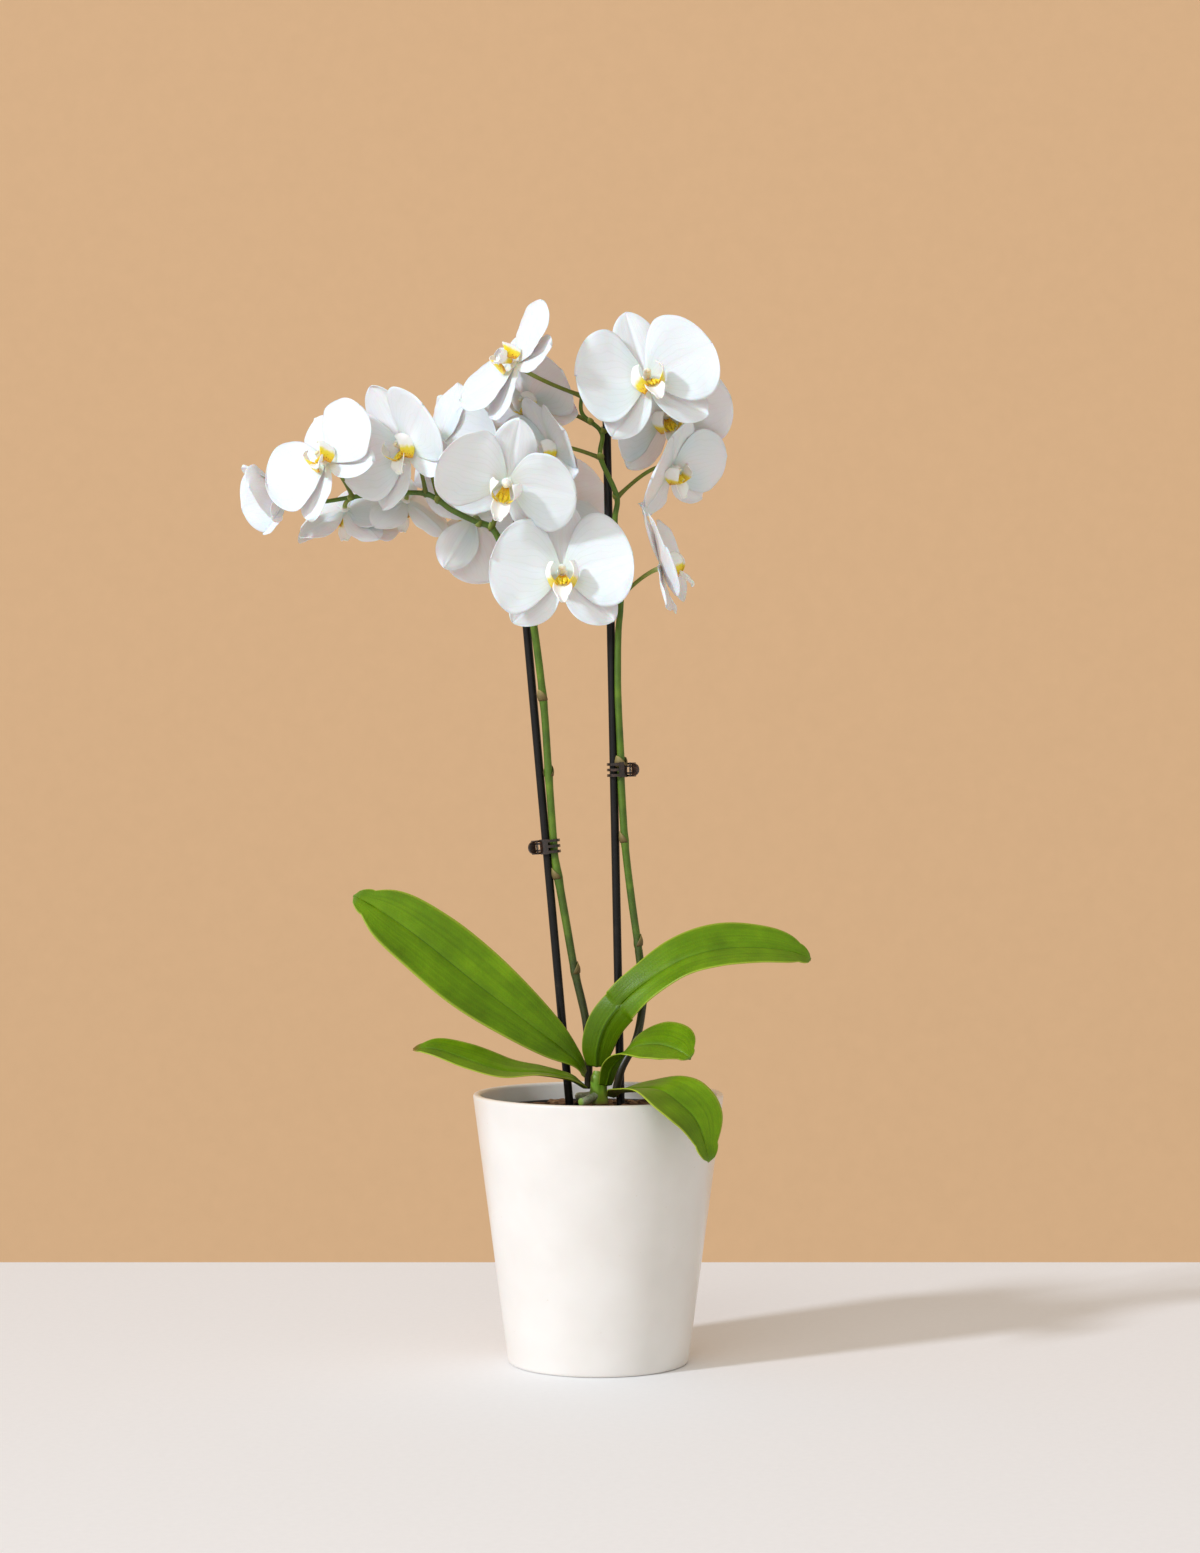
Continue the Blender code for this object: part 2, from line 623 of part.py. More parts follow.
# Blooms of the spray: where the pedicel leaves the stem, the bloom's middle, yaw, pitch and roll in
# degrees, form and size. Yaw turns to the right, pitch lifts, roll turns anticlockwise seen from the front.
BLOOMS = {
    "left": {
        "left_1": ((-45, -1, 24), (-21.5, -25, 31), 0, 0, 2, "open", 1.0),
        "left_2": ((-64, -4, 60), (-54, -44, 83), -12, -38, -18, "open", 0.98),
        "left_3": ((-57, -4, 48), (-26.5, 27.5, 77.5), 176, -4, -10, "cupped", 0.85),
        "left_4": ((-70, -4, 63), (-76, 19, 67), 195, -11, 83, "open", 0.9),
        "left_5": ((-96, 1.5, 76), (-96, 9.5, 109.5), 130, 0, 13, "cupped", 0.9),
        "left_6": ((-104, 3, 81), (-115, -15, 107), -33, -6, 26, "cupped", 0.95),
        "left_7": ((-118, 4, 81.5), (-117, 19.5, 78.5), 208, -44, 6, "cupped", 0.8),
        "left_8": ((-148, 3, 79), (-162, -26, 97.5), -39, 22, 40, "open", 0.9),
        "left_9": ((-140, 3.5, 80), (-153.5, 21, 72), 171, -53, 0, "cupped", 0.8),
        "left_10": ((-186, 1, 74), (-190, 0.5, 79.5), -73, -16, 14, "half_open", 0.68),
    },
    "right": {
        "right_1": ((13.3, 1, 19), (38.5, -2, 37), 82, 17, 0, "open", 0.92),
        "right_2": ((11, -2, 79), (44.5, 6, 96), 48, -28, 18, "cupped", 0.8),
        "right_3": ((1.4, -3, 102), (-29.5, -9.5, 107), -45, -16, 10, "cupped", 0.75),
        "right_4": ((2, -3, 117), (40.5, 9, 128.5), 22, -21, 14, "cupped", 0.95),
        "right_5": ((-4, -4.4, 122.7), (-44, 4.5, 137), -22, -17, 24, "open", 0.8),
        "right_6": ((-10, -19, 137), (28.5, -38.5, 144), 8, 14, 15, "open", 1.0),
        "right_7": ((-10, -19.5, 137.5), (-51, -40, 154), -62, 30, 56, "open", 0.92),
    },
}

# The stems below the spray, from the crown to the clip, and through the spray
STEM_FEET = {
    "left": [rim_point(-6.0, 7.5, 2.0), rim_point(-6.0, 7.0, 20.0), rim_point(-7.5, 5.5, 43.0),
             rim_point(-14.0, 4.5, 72.0), rim_point(-19.0, 4.5, 100.0)],
    "right": [rim_point(9.9, -1.0, -2.0), rim_point(14.0, -2.5, 15.0), rim_point(23.0, -1.0, 33.0),
              rim_point(27.0, 1.0, 58.0), rim_point(25.5, 1.0, 75.0), rim_point(23.5, 0.5, 91.0),
              rim_point(19.7, 0.5, 118.0), rim_point(16.0, 1.0, 150.0)],
}
STEM_SPRAYS = {
    "left": [(-30, 3, -86), (-33, 2, -44), (-39.5, -1, 6), (-45, -1, 24), (-57, -4, 48), (-64, -4, 60),
             (-74, -4, 64), (-88, 0, 71), (-104, 3, 81), (-131, 4, 81), (-148, 3, 79), (-166, 2, 76),
             (-187, 1, 74)],
    "right": [(11.8, 1, -38), (12.0, 1, -4), (13.3, 1, 19), (10, -1, 62), (11, -2, 79), (1.4, -3, 102),
              (2, -3, 117), (-9.5, -6, 128), (-10, -20, 138)],
}
STEM_RINGS = {"left": 40, "right": 42}
PEDICEL_RINGS = 6
PEDICEL_BEND = 0.35

HUB_RADIUS = 4.2
HUB_DEPTH = 3.0


def bloom_frame(entry):
    """Bloom frame: Z out of the face, Y to the top sepal."""
    centre, yaw, pitch, roll, size = entry[1], entry[2], entry[3], entry[4], entry[6]
    facing = Matrix(((1, 0, 0, 0), (0, 0, -1, 0), (0, 1, 0, 0), (0, 0, 0, 1)))
    turn = (Matrix.Rotation(math.radians(yaw), 4, "Z") @ Matrix.Rotation(math.radians(-pitch), 4, "X")
            @ facing @ Matrix.Rotation(math.radians(roll), 4, "Z"))
    size = size * BLOOM_SPAN / DRAWN_SPAN
    return Matrix.Translation(spray_point(*centre)) @ turn @ Matrix.Diagonal((size, size, size, 1.0))


def make_spike(side, material):
    """A stem with its pedicels, which end just behind each bloom."""
    clip_z = CLIPS[side]["z"]
    beside = [stake_at(side, clip_z + dz) + stem_offset(side) for dz in (-CLIP_HEIGHT, 0.0, CLIP_HEIGHT)]
    points = STEM_FEET[side] + beside + [spray_point(*p) for p in STEM_SPRAYS[side]]
    count = STEM_RINGS[side]
    path = spline(points, count)
    half = STEM_DIAMETER / 2
    radii = []
    for k in range(count):
        share = k / (count - 1)
        radii.append(half * (1.08 if share < 0.25 else 1.0 if share < 0.5 else 1.5 - share))
    stem = tube("spike_" + side, path, radii, 7)
    pedicels = []
    for entry in BLOOMS[side].values():
        frame = bloom_frame(entry)
        back = -(frame.to_3x3() @ Vector((0.0, 0.0, 1.0))).normalized()
        size = frame.to_scale()[0]
        end = frame.translation + back * (HUB_DEPTH * MM * size + 2 * TOUCH)
        start = spray_point(*entry[0])
        reach = (end - start).length
        bend = end + back * PEDICEL_BEND * reach
        path = []
        for k in range(PEDICEL_RINGS):
            t = k / (PEDICEL_RINGS - 1)
            path.append(start * (1 - t) ** 2 + bend * 2 * t * (1 - t) + end * t * t)
        thin = PEDICEL_DIAMETER / 2
        pedicels.append(tube("pedicel", path, [0.95 * thin] + [thin] * (PEDICEL_RINGS - 1), 5))
    spike = combine("spike_" + side, stem, pedicels, "UNION")
    add_object("spike_" + side, spike, material)


def tepal(angle, lift, curl, length, width, widest, rings):
    """A petal or sepal in bloom millimetres: it leaves the hub at an angle, lifted forward, and curls."""
    direction = Vector((math.cos(math.radians(angle)), math.sin(math.radians(angle)), 0.0))
    side = Vector((-direction.y, direction.x, 0.0))
    centre = Vector((0.0, 0.0, 0.0)) + direction * (0.4 * HUB_RADIUS * MM)
    stations = []
    for k in range(rings):
        t = k / (rings - 1)
        if t < widest:
            grow = 0.16 + 0.84 * math.sin(0.5 * math.pi * t / widest)
        else:
            grow = math.sqrt(max(0.0, 1.0 - ((t - widest) / (1.0 - widest)) ** 2))
        half = max(0.5 * width * grow, 0.06 * width) * MM
        stations.append((centre.copy(), side, half, PETAL_THICKNESS, 0.6 * PETAL_THICKNESS, 0.0, -0.10))
        tilt = math.radians(lift + curl * t)
        step = length / (rings - 1) * MM
        centre = centre + (direction * math.cos(tilt) + Vector((0, 0, 1)) * math.sin(tilt)) * step
    return blade("tepal", stations, 3)


def turned_hub(name, centre, radii, tilt):
    """A small egg-shaped solid."""
    steps = 4
    profile = []
    for k in range(steps + 1):
        angle = -math.pi / 2 + math.pi * k / steps
        profile.append((math.cos(angle), math.sin(angle)))
    profile[0] = (0.0, -1.0)
    profile[-1] = (0.0, 1.0)
    egg = turned(name, profile, 7)
    place = Matrix.Translation(Vector(centre) * MM) @ Matrix.Rotation(math.radians(tilt), 4, "X")
    egg.transform(place @ Matrix.Diagonal((radii[0] * MM, radii[1] * MM, radii[2] * MM, 1.0)))
    return egg


FORMS = {
    # petal lift and curl, sepal lift and curl in degrees
    "open": (8.0, 6.0, -10.0, 14.0),
    "cupped": (22.0, 6.0, 4.0, 14.0),
    "half_open": (46.0, 8.0, 26.0, 20.0),
}


def make_bloom_mesh(form):
    """Sepals, petals and column of one bloom, grown together."""
    petal_lift, petal_curl, sepal_lift, sepal_curl = FORMS[form]
    hub = turned_hub("hub", (0.0, 0.0, 0.0), (HUB_RADIUS, HUB_RADIUS, HUB_DEPTH), 0.0)
    column = turned_hub("column", (0.0, 2.4, 4.0), (2.2, 2.2, 4.4), -24.0)
    pieces = [column]
    for angle in (12.0, 168.0):
        pieces.append(tepal(angle, petal_lift, petal_curl, 42.0, 56.0, 0.52, 7))
    for angle, length in ((90.0, 43.0), (222.0, 40.0), (318.0, 40.0)):
        pieces.append(tepal(angle, sepal_lift, sepal_curl, length, 27.0, 0.55, 5))
    return combine("bloom_" + form, hub, pieces, "UNION")


def make_lip_mesh():
    """The lip: a narrow foot, two raised side lobes and a tapering front lobe."""
    scale = LIP_LENGTH / DRAWN_LIP_LENGTH
    wall = 0.9
    stations = [
        # forward, up, half width, side height
        (3.9, -1.6, 2.3, 1.2),
        (6.3, -3.2, 5.6, 6.0),
        (9.4, -5.4, 9.4, 11.0),
        (13.0, -8.8, 7.6, 4.4),
        (15.0, -13.4, 5.0, 1.6),
        (14.2, -18.2, 1.3, 1.0),
    ]
    verts = []
    for i, (forward, up, half, tall) in enumerate(stations):
        ahead = stations[min(i + 1, len(stations) - 1)]
        behind = stations[max(i - 1, 0)]
        along = Vector((0.0, ahead[1] - behind[1], ahead[0] - behind[0])).normalized()
        rise = Vector((1.0, 0.0, 0.0)).cross(along) * -1.0
        middle = Vector((0.0, up, forward))
        thin = min(wall, 0.4 * half)
        outline = [(-half, tall), (-0.75 * half, 0.0), (0.75 * half, 0.0), (half, tall),
                   (half - thin, tall), (0.75 * half - thin, wall), (thin - 0.75 * half, wall),
                   (thin - half, tall)]
        for x, y in outline:
            verts.append((middle + Vector((x, 0.0, 0.0)) + rise * y) * MM * scale)
    return build_mesh("lip", verts, ring_faces(len(stations), 8))


def make_blooms():
    white = make_material("petal_white", (0.92, 0.92, 0.90), 0.5)
    yellow = make_material("lip_yellow", (0.90, 0.75, 0.25), 0.5)
    forms = {form: make_bloom_mesh(form) for form in FORMS}
    lip_mesh = make_lip_mesh()
    for side in BLOOMS:
        for name, entry in BLOOMS[side].items():
            bloom = add_object("bloom_" + name, forms[entry[5]], white)
            bloom.matrix_world = bloom_frame(entry)
            lip = add_object("lip_" + name, lip_mesh, yellow)
            lip.matrix_world = bloom_frame(entry)


def main():
    clear_scene()
    make_ceramic_pot()
    make_nursery_pot()
    make_bark()
    make_stakes()
    make_crown()
    make_leaves()
    make_clips()
    green = make_material("stem_green", (0.20, 0.26, 0.06), 0.45)
    for side in BLOOMS:
        make_spike(side, green)
    make_blooms()


main()
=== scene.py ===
import math
import random

import bpy
from mathutils import Matrix, Vector, noise


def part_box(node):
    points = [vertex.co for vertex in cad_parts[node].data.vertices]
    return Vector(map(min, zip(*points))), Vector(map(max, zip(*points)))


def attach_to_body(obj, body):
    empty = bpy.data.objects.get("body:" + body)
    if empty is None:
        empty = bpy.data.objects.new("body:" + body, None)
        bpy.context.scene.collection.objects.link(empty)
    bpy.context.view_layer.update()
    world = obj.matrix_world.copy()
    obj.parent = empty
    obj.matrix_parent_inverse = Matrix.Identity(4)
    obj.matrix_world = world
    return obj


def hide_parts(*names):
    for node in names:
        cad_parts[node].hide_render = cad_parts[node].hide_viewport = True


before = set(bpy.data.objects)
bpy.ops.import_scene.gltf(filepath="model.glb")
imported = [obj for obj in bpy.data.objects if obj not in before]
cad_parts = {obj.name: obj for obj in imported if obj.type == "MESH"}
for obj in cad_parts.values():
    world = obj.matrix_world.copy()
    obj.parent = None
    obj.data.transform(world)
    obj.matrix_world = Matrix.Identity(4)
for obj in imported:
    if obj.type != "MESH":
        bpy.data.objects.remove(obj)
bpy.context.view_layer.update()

mm = 0.001
poleGap = 0.0004  # a turned profile stops this far from its axis, and a small cap closes it
potLow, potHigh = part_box("ceramic_pot")
rimLevel = potHigh.z
rimRadius = (potHigh.x - potLow.x) / 2
print("frame loaded:", len(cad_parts), "solids")


# colours and shader nodes

def toLinear(hexColour):
    parts = [int(hexColour[i:i + 2], 16) / 255 for i in (1, 3, 5)]
    return (*[p / 12.92 if p <= 0.04045 else ((p + 0.055) / 1.055) ** 2.4 for p in parts], 1.0)


def fillSockets(tree, node, sockets):
    # a socket takes a number, a colour, another node or one of its outputs
    for name, value in sockets.items():
        if isinstance(value, bpy.types.Node):
            value = value.outputs[2 if value.bl_idname == "ShaderNodeMix" else 0]
        if isinstance(value, bpy.types.NodeSocket):
            tree.links.new(value, node.inputs[name])
        elif isinstance(value, str):
            node.inputs[name].default_value = toLinear(value)
        else:
            node.inputs[name].default_value = value


def addNode(tree, kind, sockets=None, stops=None, **settings):
    # stops colour a ramp; settings are the node's own choices
    made = tree.nodes.new("ShaderNode" + kind)
    for name, value in settings.items():
        setattr(made, name, value)
    fillSockets(tree, made, sockets or {})
    if stops:
        ramp = made.color_ramp.elements
        while len(ramp) < len(stops):
            ramp.new(0.5)
        for element, (position, colour) in zip(ramp, stops):
            element.position = position
            element.color = toLinear(colour)
    return made


def newMaterial(name, **sockets):
    # a Principled material; the named sockets are the same all over the surface
    material = bpy.data.materials.new(name)
    material.use_nodes = True
    tree = material.node_tree
    shader = tree.nodes["Principled BSDF"]
    for socket, value in sockets.items():
        shader.inputs[socket.replace("_", " ")].default_value = value
    return material, tree, shader


def addBump(tree, shader, height, depth, strength=1.0):
    # depth is the real depth of the relief in metres
    bump = addNode(tree, "Bump", {"Strength": strength, "Distance": depth, "Height": height})
    fillSockets(tree, shader, {"Normal": bump})


def surfacePlaces(tree):
    # a point's place in the object and on its unwrapped surface, then that surface's share across and upward
    places = addNode(tree, "TexCoord")
    shares = addNode(tree, "SeparateXYZ", {"Vector": places.outputs["UV"]})
    return places.outputs["Object"], places.outputs["UV"], shares.outputs["X"], shares.outputs["Y"]


def addGrain(tree, shader, colour, grain, limits, low, high):
    # the base colour darkens and lightens with a grain pattern, from low to high between the limits
    shade = addNode(tree, "MapRange", {"Value": grain, 1: limits[0], 2: limits[1], 3: low, 4: high})
    mixed = addNode(tree, "VectorMath", {0: colour, "Scale": shade}, operation="SCALE")
    fillSockets(tree, shader, {"Base Color": mixed})


def addWear(tree, shader, pattern, low, high):
    # the roughness wanders from low to high
    rough = addNode(tree, "MapRange", {"Value": pattern, 3: low, 4: high})
    fillSockets(tree, shader, {"Roughness": rough})


# meshes from rings of points

def newBody():
    return {"verts": [], "uvs": [], "faces": [], "slots": []}


def addRings(body, rings, slot=0, closed=True, capped=True):
    # each ring is a list of (point, (u, v)); neighbouring rings are joined by quads
    size = len(rings[0])
    base = len(body["verts"])
    for ring in rings:
        for point, uv in ring:
            body["verts"].append(tuple(point))
            body["uvs"].append(uv)
    steps = size if closed else size - 1
    faces = []
    for r in range(len(rings) - 1):
        for k in range(steps):
            a = base + r * size + k
            b = base + r * size + (k + 1) % size
            faces.append((a, b, b + size, a + size))
    if capped:
        faces.append(tuple(base + k for k in reversed(range(size))))
        faces.append(tuple(base + (len(rings) - 1) * size + k for k in range(size)))
    body["faces"].extend(faces)
    body["slots"].extend([slot] * len(faces))


def finishBody(name, body, materials, place=None, sharp=None):
    mesh = bpy.data.meshes.new(name)
    mesh.from_pydata(body["verts"], [], body["faces"])
    layer = mesh.uv_layers.new(name="UVMap")
    for loop in mesh.loops:
        layer.data[loop.index].uv = body["uvs"][loop.vertex_index]
    mesh.polygons.foreach_set("material_index", body["slots"])
    for material in materials:
        mesh.materials.append(material)
    if place is not None:
        mesh.transform(place)
    mesh.shade_smooth()
    if sharp is not None:
        mesh.set_sharp_from_angle(angle=math.radians(sharp))
    piece = bpy.data.objects.new(name, mesh)
    bpy.context.collection.objects.link(piece)
    return piece


def settle(piece, bodyName, slotName, *nodes):
    # the piece rides on a body of the frame and stands for the named solids
    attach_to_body(piece, bodyName)
    if nodes:
        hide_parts(*nodes)


def smoothLine(points, count):
    # points spread evenly along a Catmull-Rom curve
    ends = [points[0] * 2 - points[1]] + list(points) + [points[-1] * 2 - points[-2]]
    spans = len(points) - 1
    line = []
    for step in range(count):
        u = step * spans / (count - 1)
        i = min(int(u), spans - 1)
        t = u - i
        a, b, c, d = ends[i:i + 4]
        line.append(0.5 * (2 * b + (c - a) * t + (2 * a - 5 * b + 4 * c - d) * t ** 2
                           + (3 * b - a - 3 * c + d) * t ** 3))
    return line


def tubeRings(line, radii, sides, turn=0.0):
    rings = []
    across = Vector((1.0, 0.0, 0.0))
    for i, point in enumerate(line):
        along = (line[min(i + 1, len(line) - 1)] - line[max(i - 1, 0)]).normalized()
        if i == 0 and abs(along.dot(across)) > 0.9:
            across = Vector((0.0, 1.0, 0.0))
        across = (across - along * across.dot(along)).normalized()
        upward = along.cross(across)
        ring = []
        for k in range(sides):
            angle = 2 * math.pi * k / sides + turn
            offset = across * math.cos(angle) + upward * math.sin(angle)
            ring.append((point + offset * radii[i], (k / sides, i / (len(line) - 1))))
        rings.append(ring)
    return rings


def turnedRings(profile, sides):
    # a profile of (radius, height) turned about the vertical axis
    rings = []
    for j, (radius, height) in enumerate(profile):
        ring = []
        for k in range(sides):
            angle = 2 * math.pi * k / sides
            point = Vector((radius * math.cos(angle), radius * math.sin(angle), height))
            ring.append((point, (k / sides, j / (len(profile) - 1))))
        rings.append(ring)
    return rings


def rounded(profile, radius, steps=4):
    # every inner corner of a profile is rounded off with a small arc
    result = [profile[0]]
    for before, corner, after in zip(profile, profile[1:], profile[2:]):
        c = Vector(corner)
        reachIn = min(radius, (Vector(before) - c).length / 2)
        reachOut = min(radius, (Vector(after) - c).length / 2)
        start = c + (Vector(before) - c).normalized() * reachIn
        end = c + (Vector(after) - c).normalized() * reachOut
        for k in range(steps + 1):
            t = k / steps
            result.append(tuple(start * (1 - t) ** 2 + c * 2 * t * (1 - t) + end * t ** 2))
    result.append(profile[-1])
    return result


def sheetRings(rows, thickness, edgeShare=0.55):
    # rows of points across a leaf or petal become a thin closed skin, thinner at its margins
    count = len(rows[0])
    rings = []
    for r, row in enumerate(rows):
        ahead = rows[min(r + 1, len(rows) - 1)]
        behind = rows[max(r - 1, 0)]
        front, back = [], []
        for k in range(count):
            across = row[min(k + 1, count - 1)] - row[max(k - 1, 0)]
            normal = across.cross(ahead[k] - behind[k])
            normal = normal.normalized() if normal.length > 1e-12 else Vector((0.0, 0.0, 1.0))
            s = -1 + 2 * k / (count - 1)
            depth = 0.5 * thickness * (1 - (1 - edgeShare) * s * s)
            uv = (0.5 + 0.5 * s, r / (len(rows) - 1))
            front.append((row[k] + normal * depth, uv))
            back.append((row[k] - normal * depth, uv))
        rings.append(front + back[::-1])
    return rings


# pot: slip-cast stoneware under a satin white glaze
# the glaze pools thick and even, so the eye sees one soft wide highlight and an almost flawless wall

potDesign = {
    "baseRadius": 54.0 * mm,
    "wall": 4.5 * mm,
    "floor": 6.0 * mm,
    "footWidth": 6.0 * mm,  # width of the ring it stands on
    "footLift": 1.4 * mm,   # hollow under the base
    "rimRound": 2.1 * mm,
    "sides": 160,
}


def glazedStoneware():
    material, tree, shader = newMaterial(
        "satin_glazed_stoneware", IOR=1.5, Coat_Weight=0.25, Coat_Roughness=0.12,
        Subsurface_Weight=0.06, Subsurface_Scale=0.002)
    place = addNode(tree, "TexCoord").outputs["Object"]
    cloud = addNode(tree, "TexNoise", {"Vector": place, "Scale": 1 / 0.035, "Detail": 3.0})
    peel = addNode(tree, "TexNoise", {"Vector": place, "Scale": 1 / 0.0025, "Detail": 2.0})
    pins = addNode(tree, "TexVoronoi", {"Vector": place, "Scale": 1 / 0.009})  # rare pinholes
    pinSpot = addNode(tree, "MapRange", {"Value": pins, 1: 0.02, 2: 0.05})
    tone = addNode(tree, "ValToRGB", {"Fac": cloud}, stops=[(0.3, "#E2DDD6"), (0.7, "#E9E5DF")])
    height = addNode(tree, "SeparateXYZ", {"Vector": place})
    # the glaze thins on the lip and shows a little of the warm body
    lip = addNode(tree, "MapRange", {"Value": height.outputs["Z"], 1: rimLevel - 0.0012, 2: rimLevel})
    warm = addNode(tree, "Mix", {0: lip, 6: tone, 7: "#E8DDCE"}, data_type="RGBA")
    spotted = addNode(tree, "Mix", {0: pinSpot, 6: "#D8CDBE", 7: warm}, data_type="RGBA")
    fillSockets(tree, shader, {"Base Color": spotted})
    addWear(tree, shader, cloud, 0.24, 0.36)
    addBump(tree, shader, peel, 0.00006, 0.5)
    return material


def makePot():
    d = potDesign
    inner = rimRadius - d["wall"]
    slope = (rimRadius - d["baseRadius"]) / rimLevel
    innerFloor = d["baseRadius"] - d["wall"] + slope * d["floor"]
    footInner = d["baseRadius"] - d["footWidth"]
    profile = [(0.0, d["footLift"]), (footInner - 0.0015, d["footLift"]), (footInner, 0.0),
               (d["baseRadius"], 0.0)]
    profile += [(d["baseRadius"] + slope * rimLevel * k / 24, rimLevel * k / 24) for k in range(1, 25)]
    profile += [(inner, rimLevel)]
    profile += [(innerFloor + (inner - innerFloor) * k / 12, d["floor"] + (rimLevel - d["floor"]) * k / 12)
                for k in range(11, -1, -1)]
    profile += [(0.0, d["floor"])]
    profile = rounded(profile, d["rimRound"])
    profile[0] = (poleGap, d["footLift"])
    profile[-1] = (poleGap, d["floor"])
    body = newBody()
    addRings(body, turnedRings(profile, d["sides"]))
    pot = finishBody("glazedPot", body, [glazedStoneware()], sharp=50)
    settle(pot, "root", "white_glaze", "ceramic_pot")


# grower's pot: thermoformed black polypropylene, thin, slightly ribbed and dusty with bark

growerDesign = {
    "wall": 1.2 * mm,
    "lip": 1.6 * mm,
    "ribs": 24,
    "ribDepth": 0.25 * mm,
    "sides": 144,
}


def thermoformedPolypropylene():
    material, tree, shader = newMaterial("thermoformed_black_polypropylene", IOR=1.49)
    place = addNode(tree, "TexCoord").outputs["Object"]
    dust = addNode(tree, "TexNoise", {"Vector": place, "Scale": 1 / 0.006, "Detail": 6.0})
    tone = addNode(tree, "ValToRGB", {"Fac": dust},
                   stops=[(0.45, "#1A1A1A"), (0.62, "#262422"), (0.8, "#4A4036")])
    fillSockets(tree, shader, {"Base Color": tone})
    addWear(tree, shader, dust, 0.42, 0.75)
    addBump(tree, shader, dust, 0.0001, 0.4)
    return material


def makeGrowerPot():
    d = growerDesign
    low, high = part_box("nursery_pot")
    top = (high.x - low.x) / 2
    wallTop = top - d["lip"]
    wallLow = wallTop - (rimRadius - potDesign["baseRadius"]) * (high.z - low.z) / rimLevel
    lip = d["lip"]
    profile = [(poleGap, low.z), (wallLow, low.z), (wallTop - 0.0006, high.z - 3.2 * lip),
               (top, high.z - 2.0 * lip), (top, high.z), (wallTop - d["wall"], high.z),
               (wallLow - d["wall"], low.z + d["wall"]), (poleGap, low.z + d["wall"])]
    rings = turnedRings(rounded(profile, 0.9 * mm), d["sides"])
    for ring in rings:  # soft upright ribs pressed into the wall
        for k, (point, uv) in enumerate(ring):
            if point.z < high.z - 3.3 * lip and Vector((point.x, point.y)).length > 0.8 * wallLow:
                wave = 1 + d["ribDepth"] / wallTop * math.cos(2 * math.pi * d["ribs"] * k / d["sides"])
                ring[k] = (Vector((point.x * wave, point.y * wave, point.z)), uv)
    body = newBody()
    addRings(body, rings)
    cup = finishBody("growerPot", body, [thermoformedPolypropylene()], sharp=60)
    settle(cup, "root", "black_plastic", "nursery_pot")


# potting mix: composted pine bark, broken into flakes whose faces show cork layers and pale torn edges

barkDesign = {
    "chips": 150,
    "crumbs": 130,
    "length": (9.0 * mm, 19.0 * mm),
    "thickness": (2.2 * mm, 4.6 * mm),
    "tilt": 24.0,  # steepest lean of a chip, in degrees
    "keepClear": 4.2 * mm,  # from a stake
    "bedDrop": 14.0 * mm,  # the bed's margin lies this far under the rim
    "chipRise": 2.2 * mm,  # the chips stand this far above the bed
    "seed": 11,
    # a flake from its under side to its top: share of its thickness, share of its spread
    "flake": ((-0.5, 0.05), (-0.5, 0.72), (-0.22, 0.97), (0.1, 0.93), (0.34, 1.0), (0.5, 0.8), (0.54, 0.05)),
}


def compostedPineBark():
    material, tree, shader = newMaterial("composted_pine_bark", IOR=1.45)
    place, unwrapped, across, upward = surfacePlaces(tree)
    tone = addNode(tree, "ValToRGB", {"Fac": across},
                   stops=[(0.0, "#2B1B12"), (0.35, "#4A2F1E"), (0.7, "#6E4A30"), (1.0, "#8F6A48")])
    # cork layers are half a millimetre, drawn at 1.2 mm so that they show
    stretch = addNode(tree, "Mapping", {"Vector": place, "Scale": (1.0, 1.0, 3.0)})
    grain = addNode(tree, "TexNoise",
                    {"Vector": stretch, "Scale": 1 / 0.0022, "Detail": 8.0, "Roughness": 0.68})
    layers = addNode(tree, "TexWave", {"Vector": place, "Scale": 1 / 0.0075, "Distortion": 9.0, "Detail": 3.0},
                     bands_direction="Z")
    shade = addNode(tree, "MapRange", {"Value": grain, 1: 0.3, 2: 0.7, 3: 0.35, 4: 1.25})
    mixed = addNode(tree, "VectorMath", {0: tone, "Scale": shade}, operation="SCALE")
    pale = addNode(tree, "MapRange", {"Value": layers.outputs["Fac"], 1: 0.72, 2: 1.0, 4: 0.5})
    torn = addNode(tree, "Mix", {0: pale, 6: mixed, 7: "#A5835C"}, data_type="RGBA")
    fillSockets(tree, shader, {"Base Color": torn, "Roughness": 0.88})
    addBump(tree, shader, grain, 0.0009, 0.9)
    return material


def leaningLine(node):
    # the axis of a stake, which leans to the left as it rises
    low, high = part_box(node)
    half = (high.y - low.y) / 2
    middle = (low.y + high.y) / 2
    return Vector((high.x - half, middle, low.z)), Vector((low.x + half, middle, high.z))


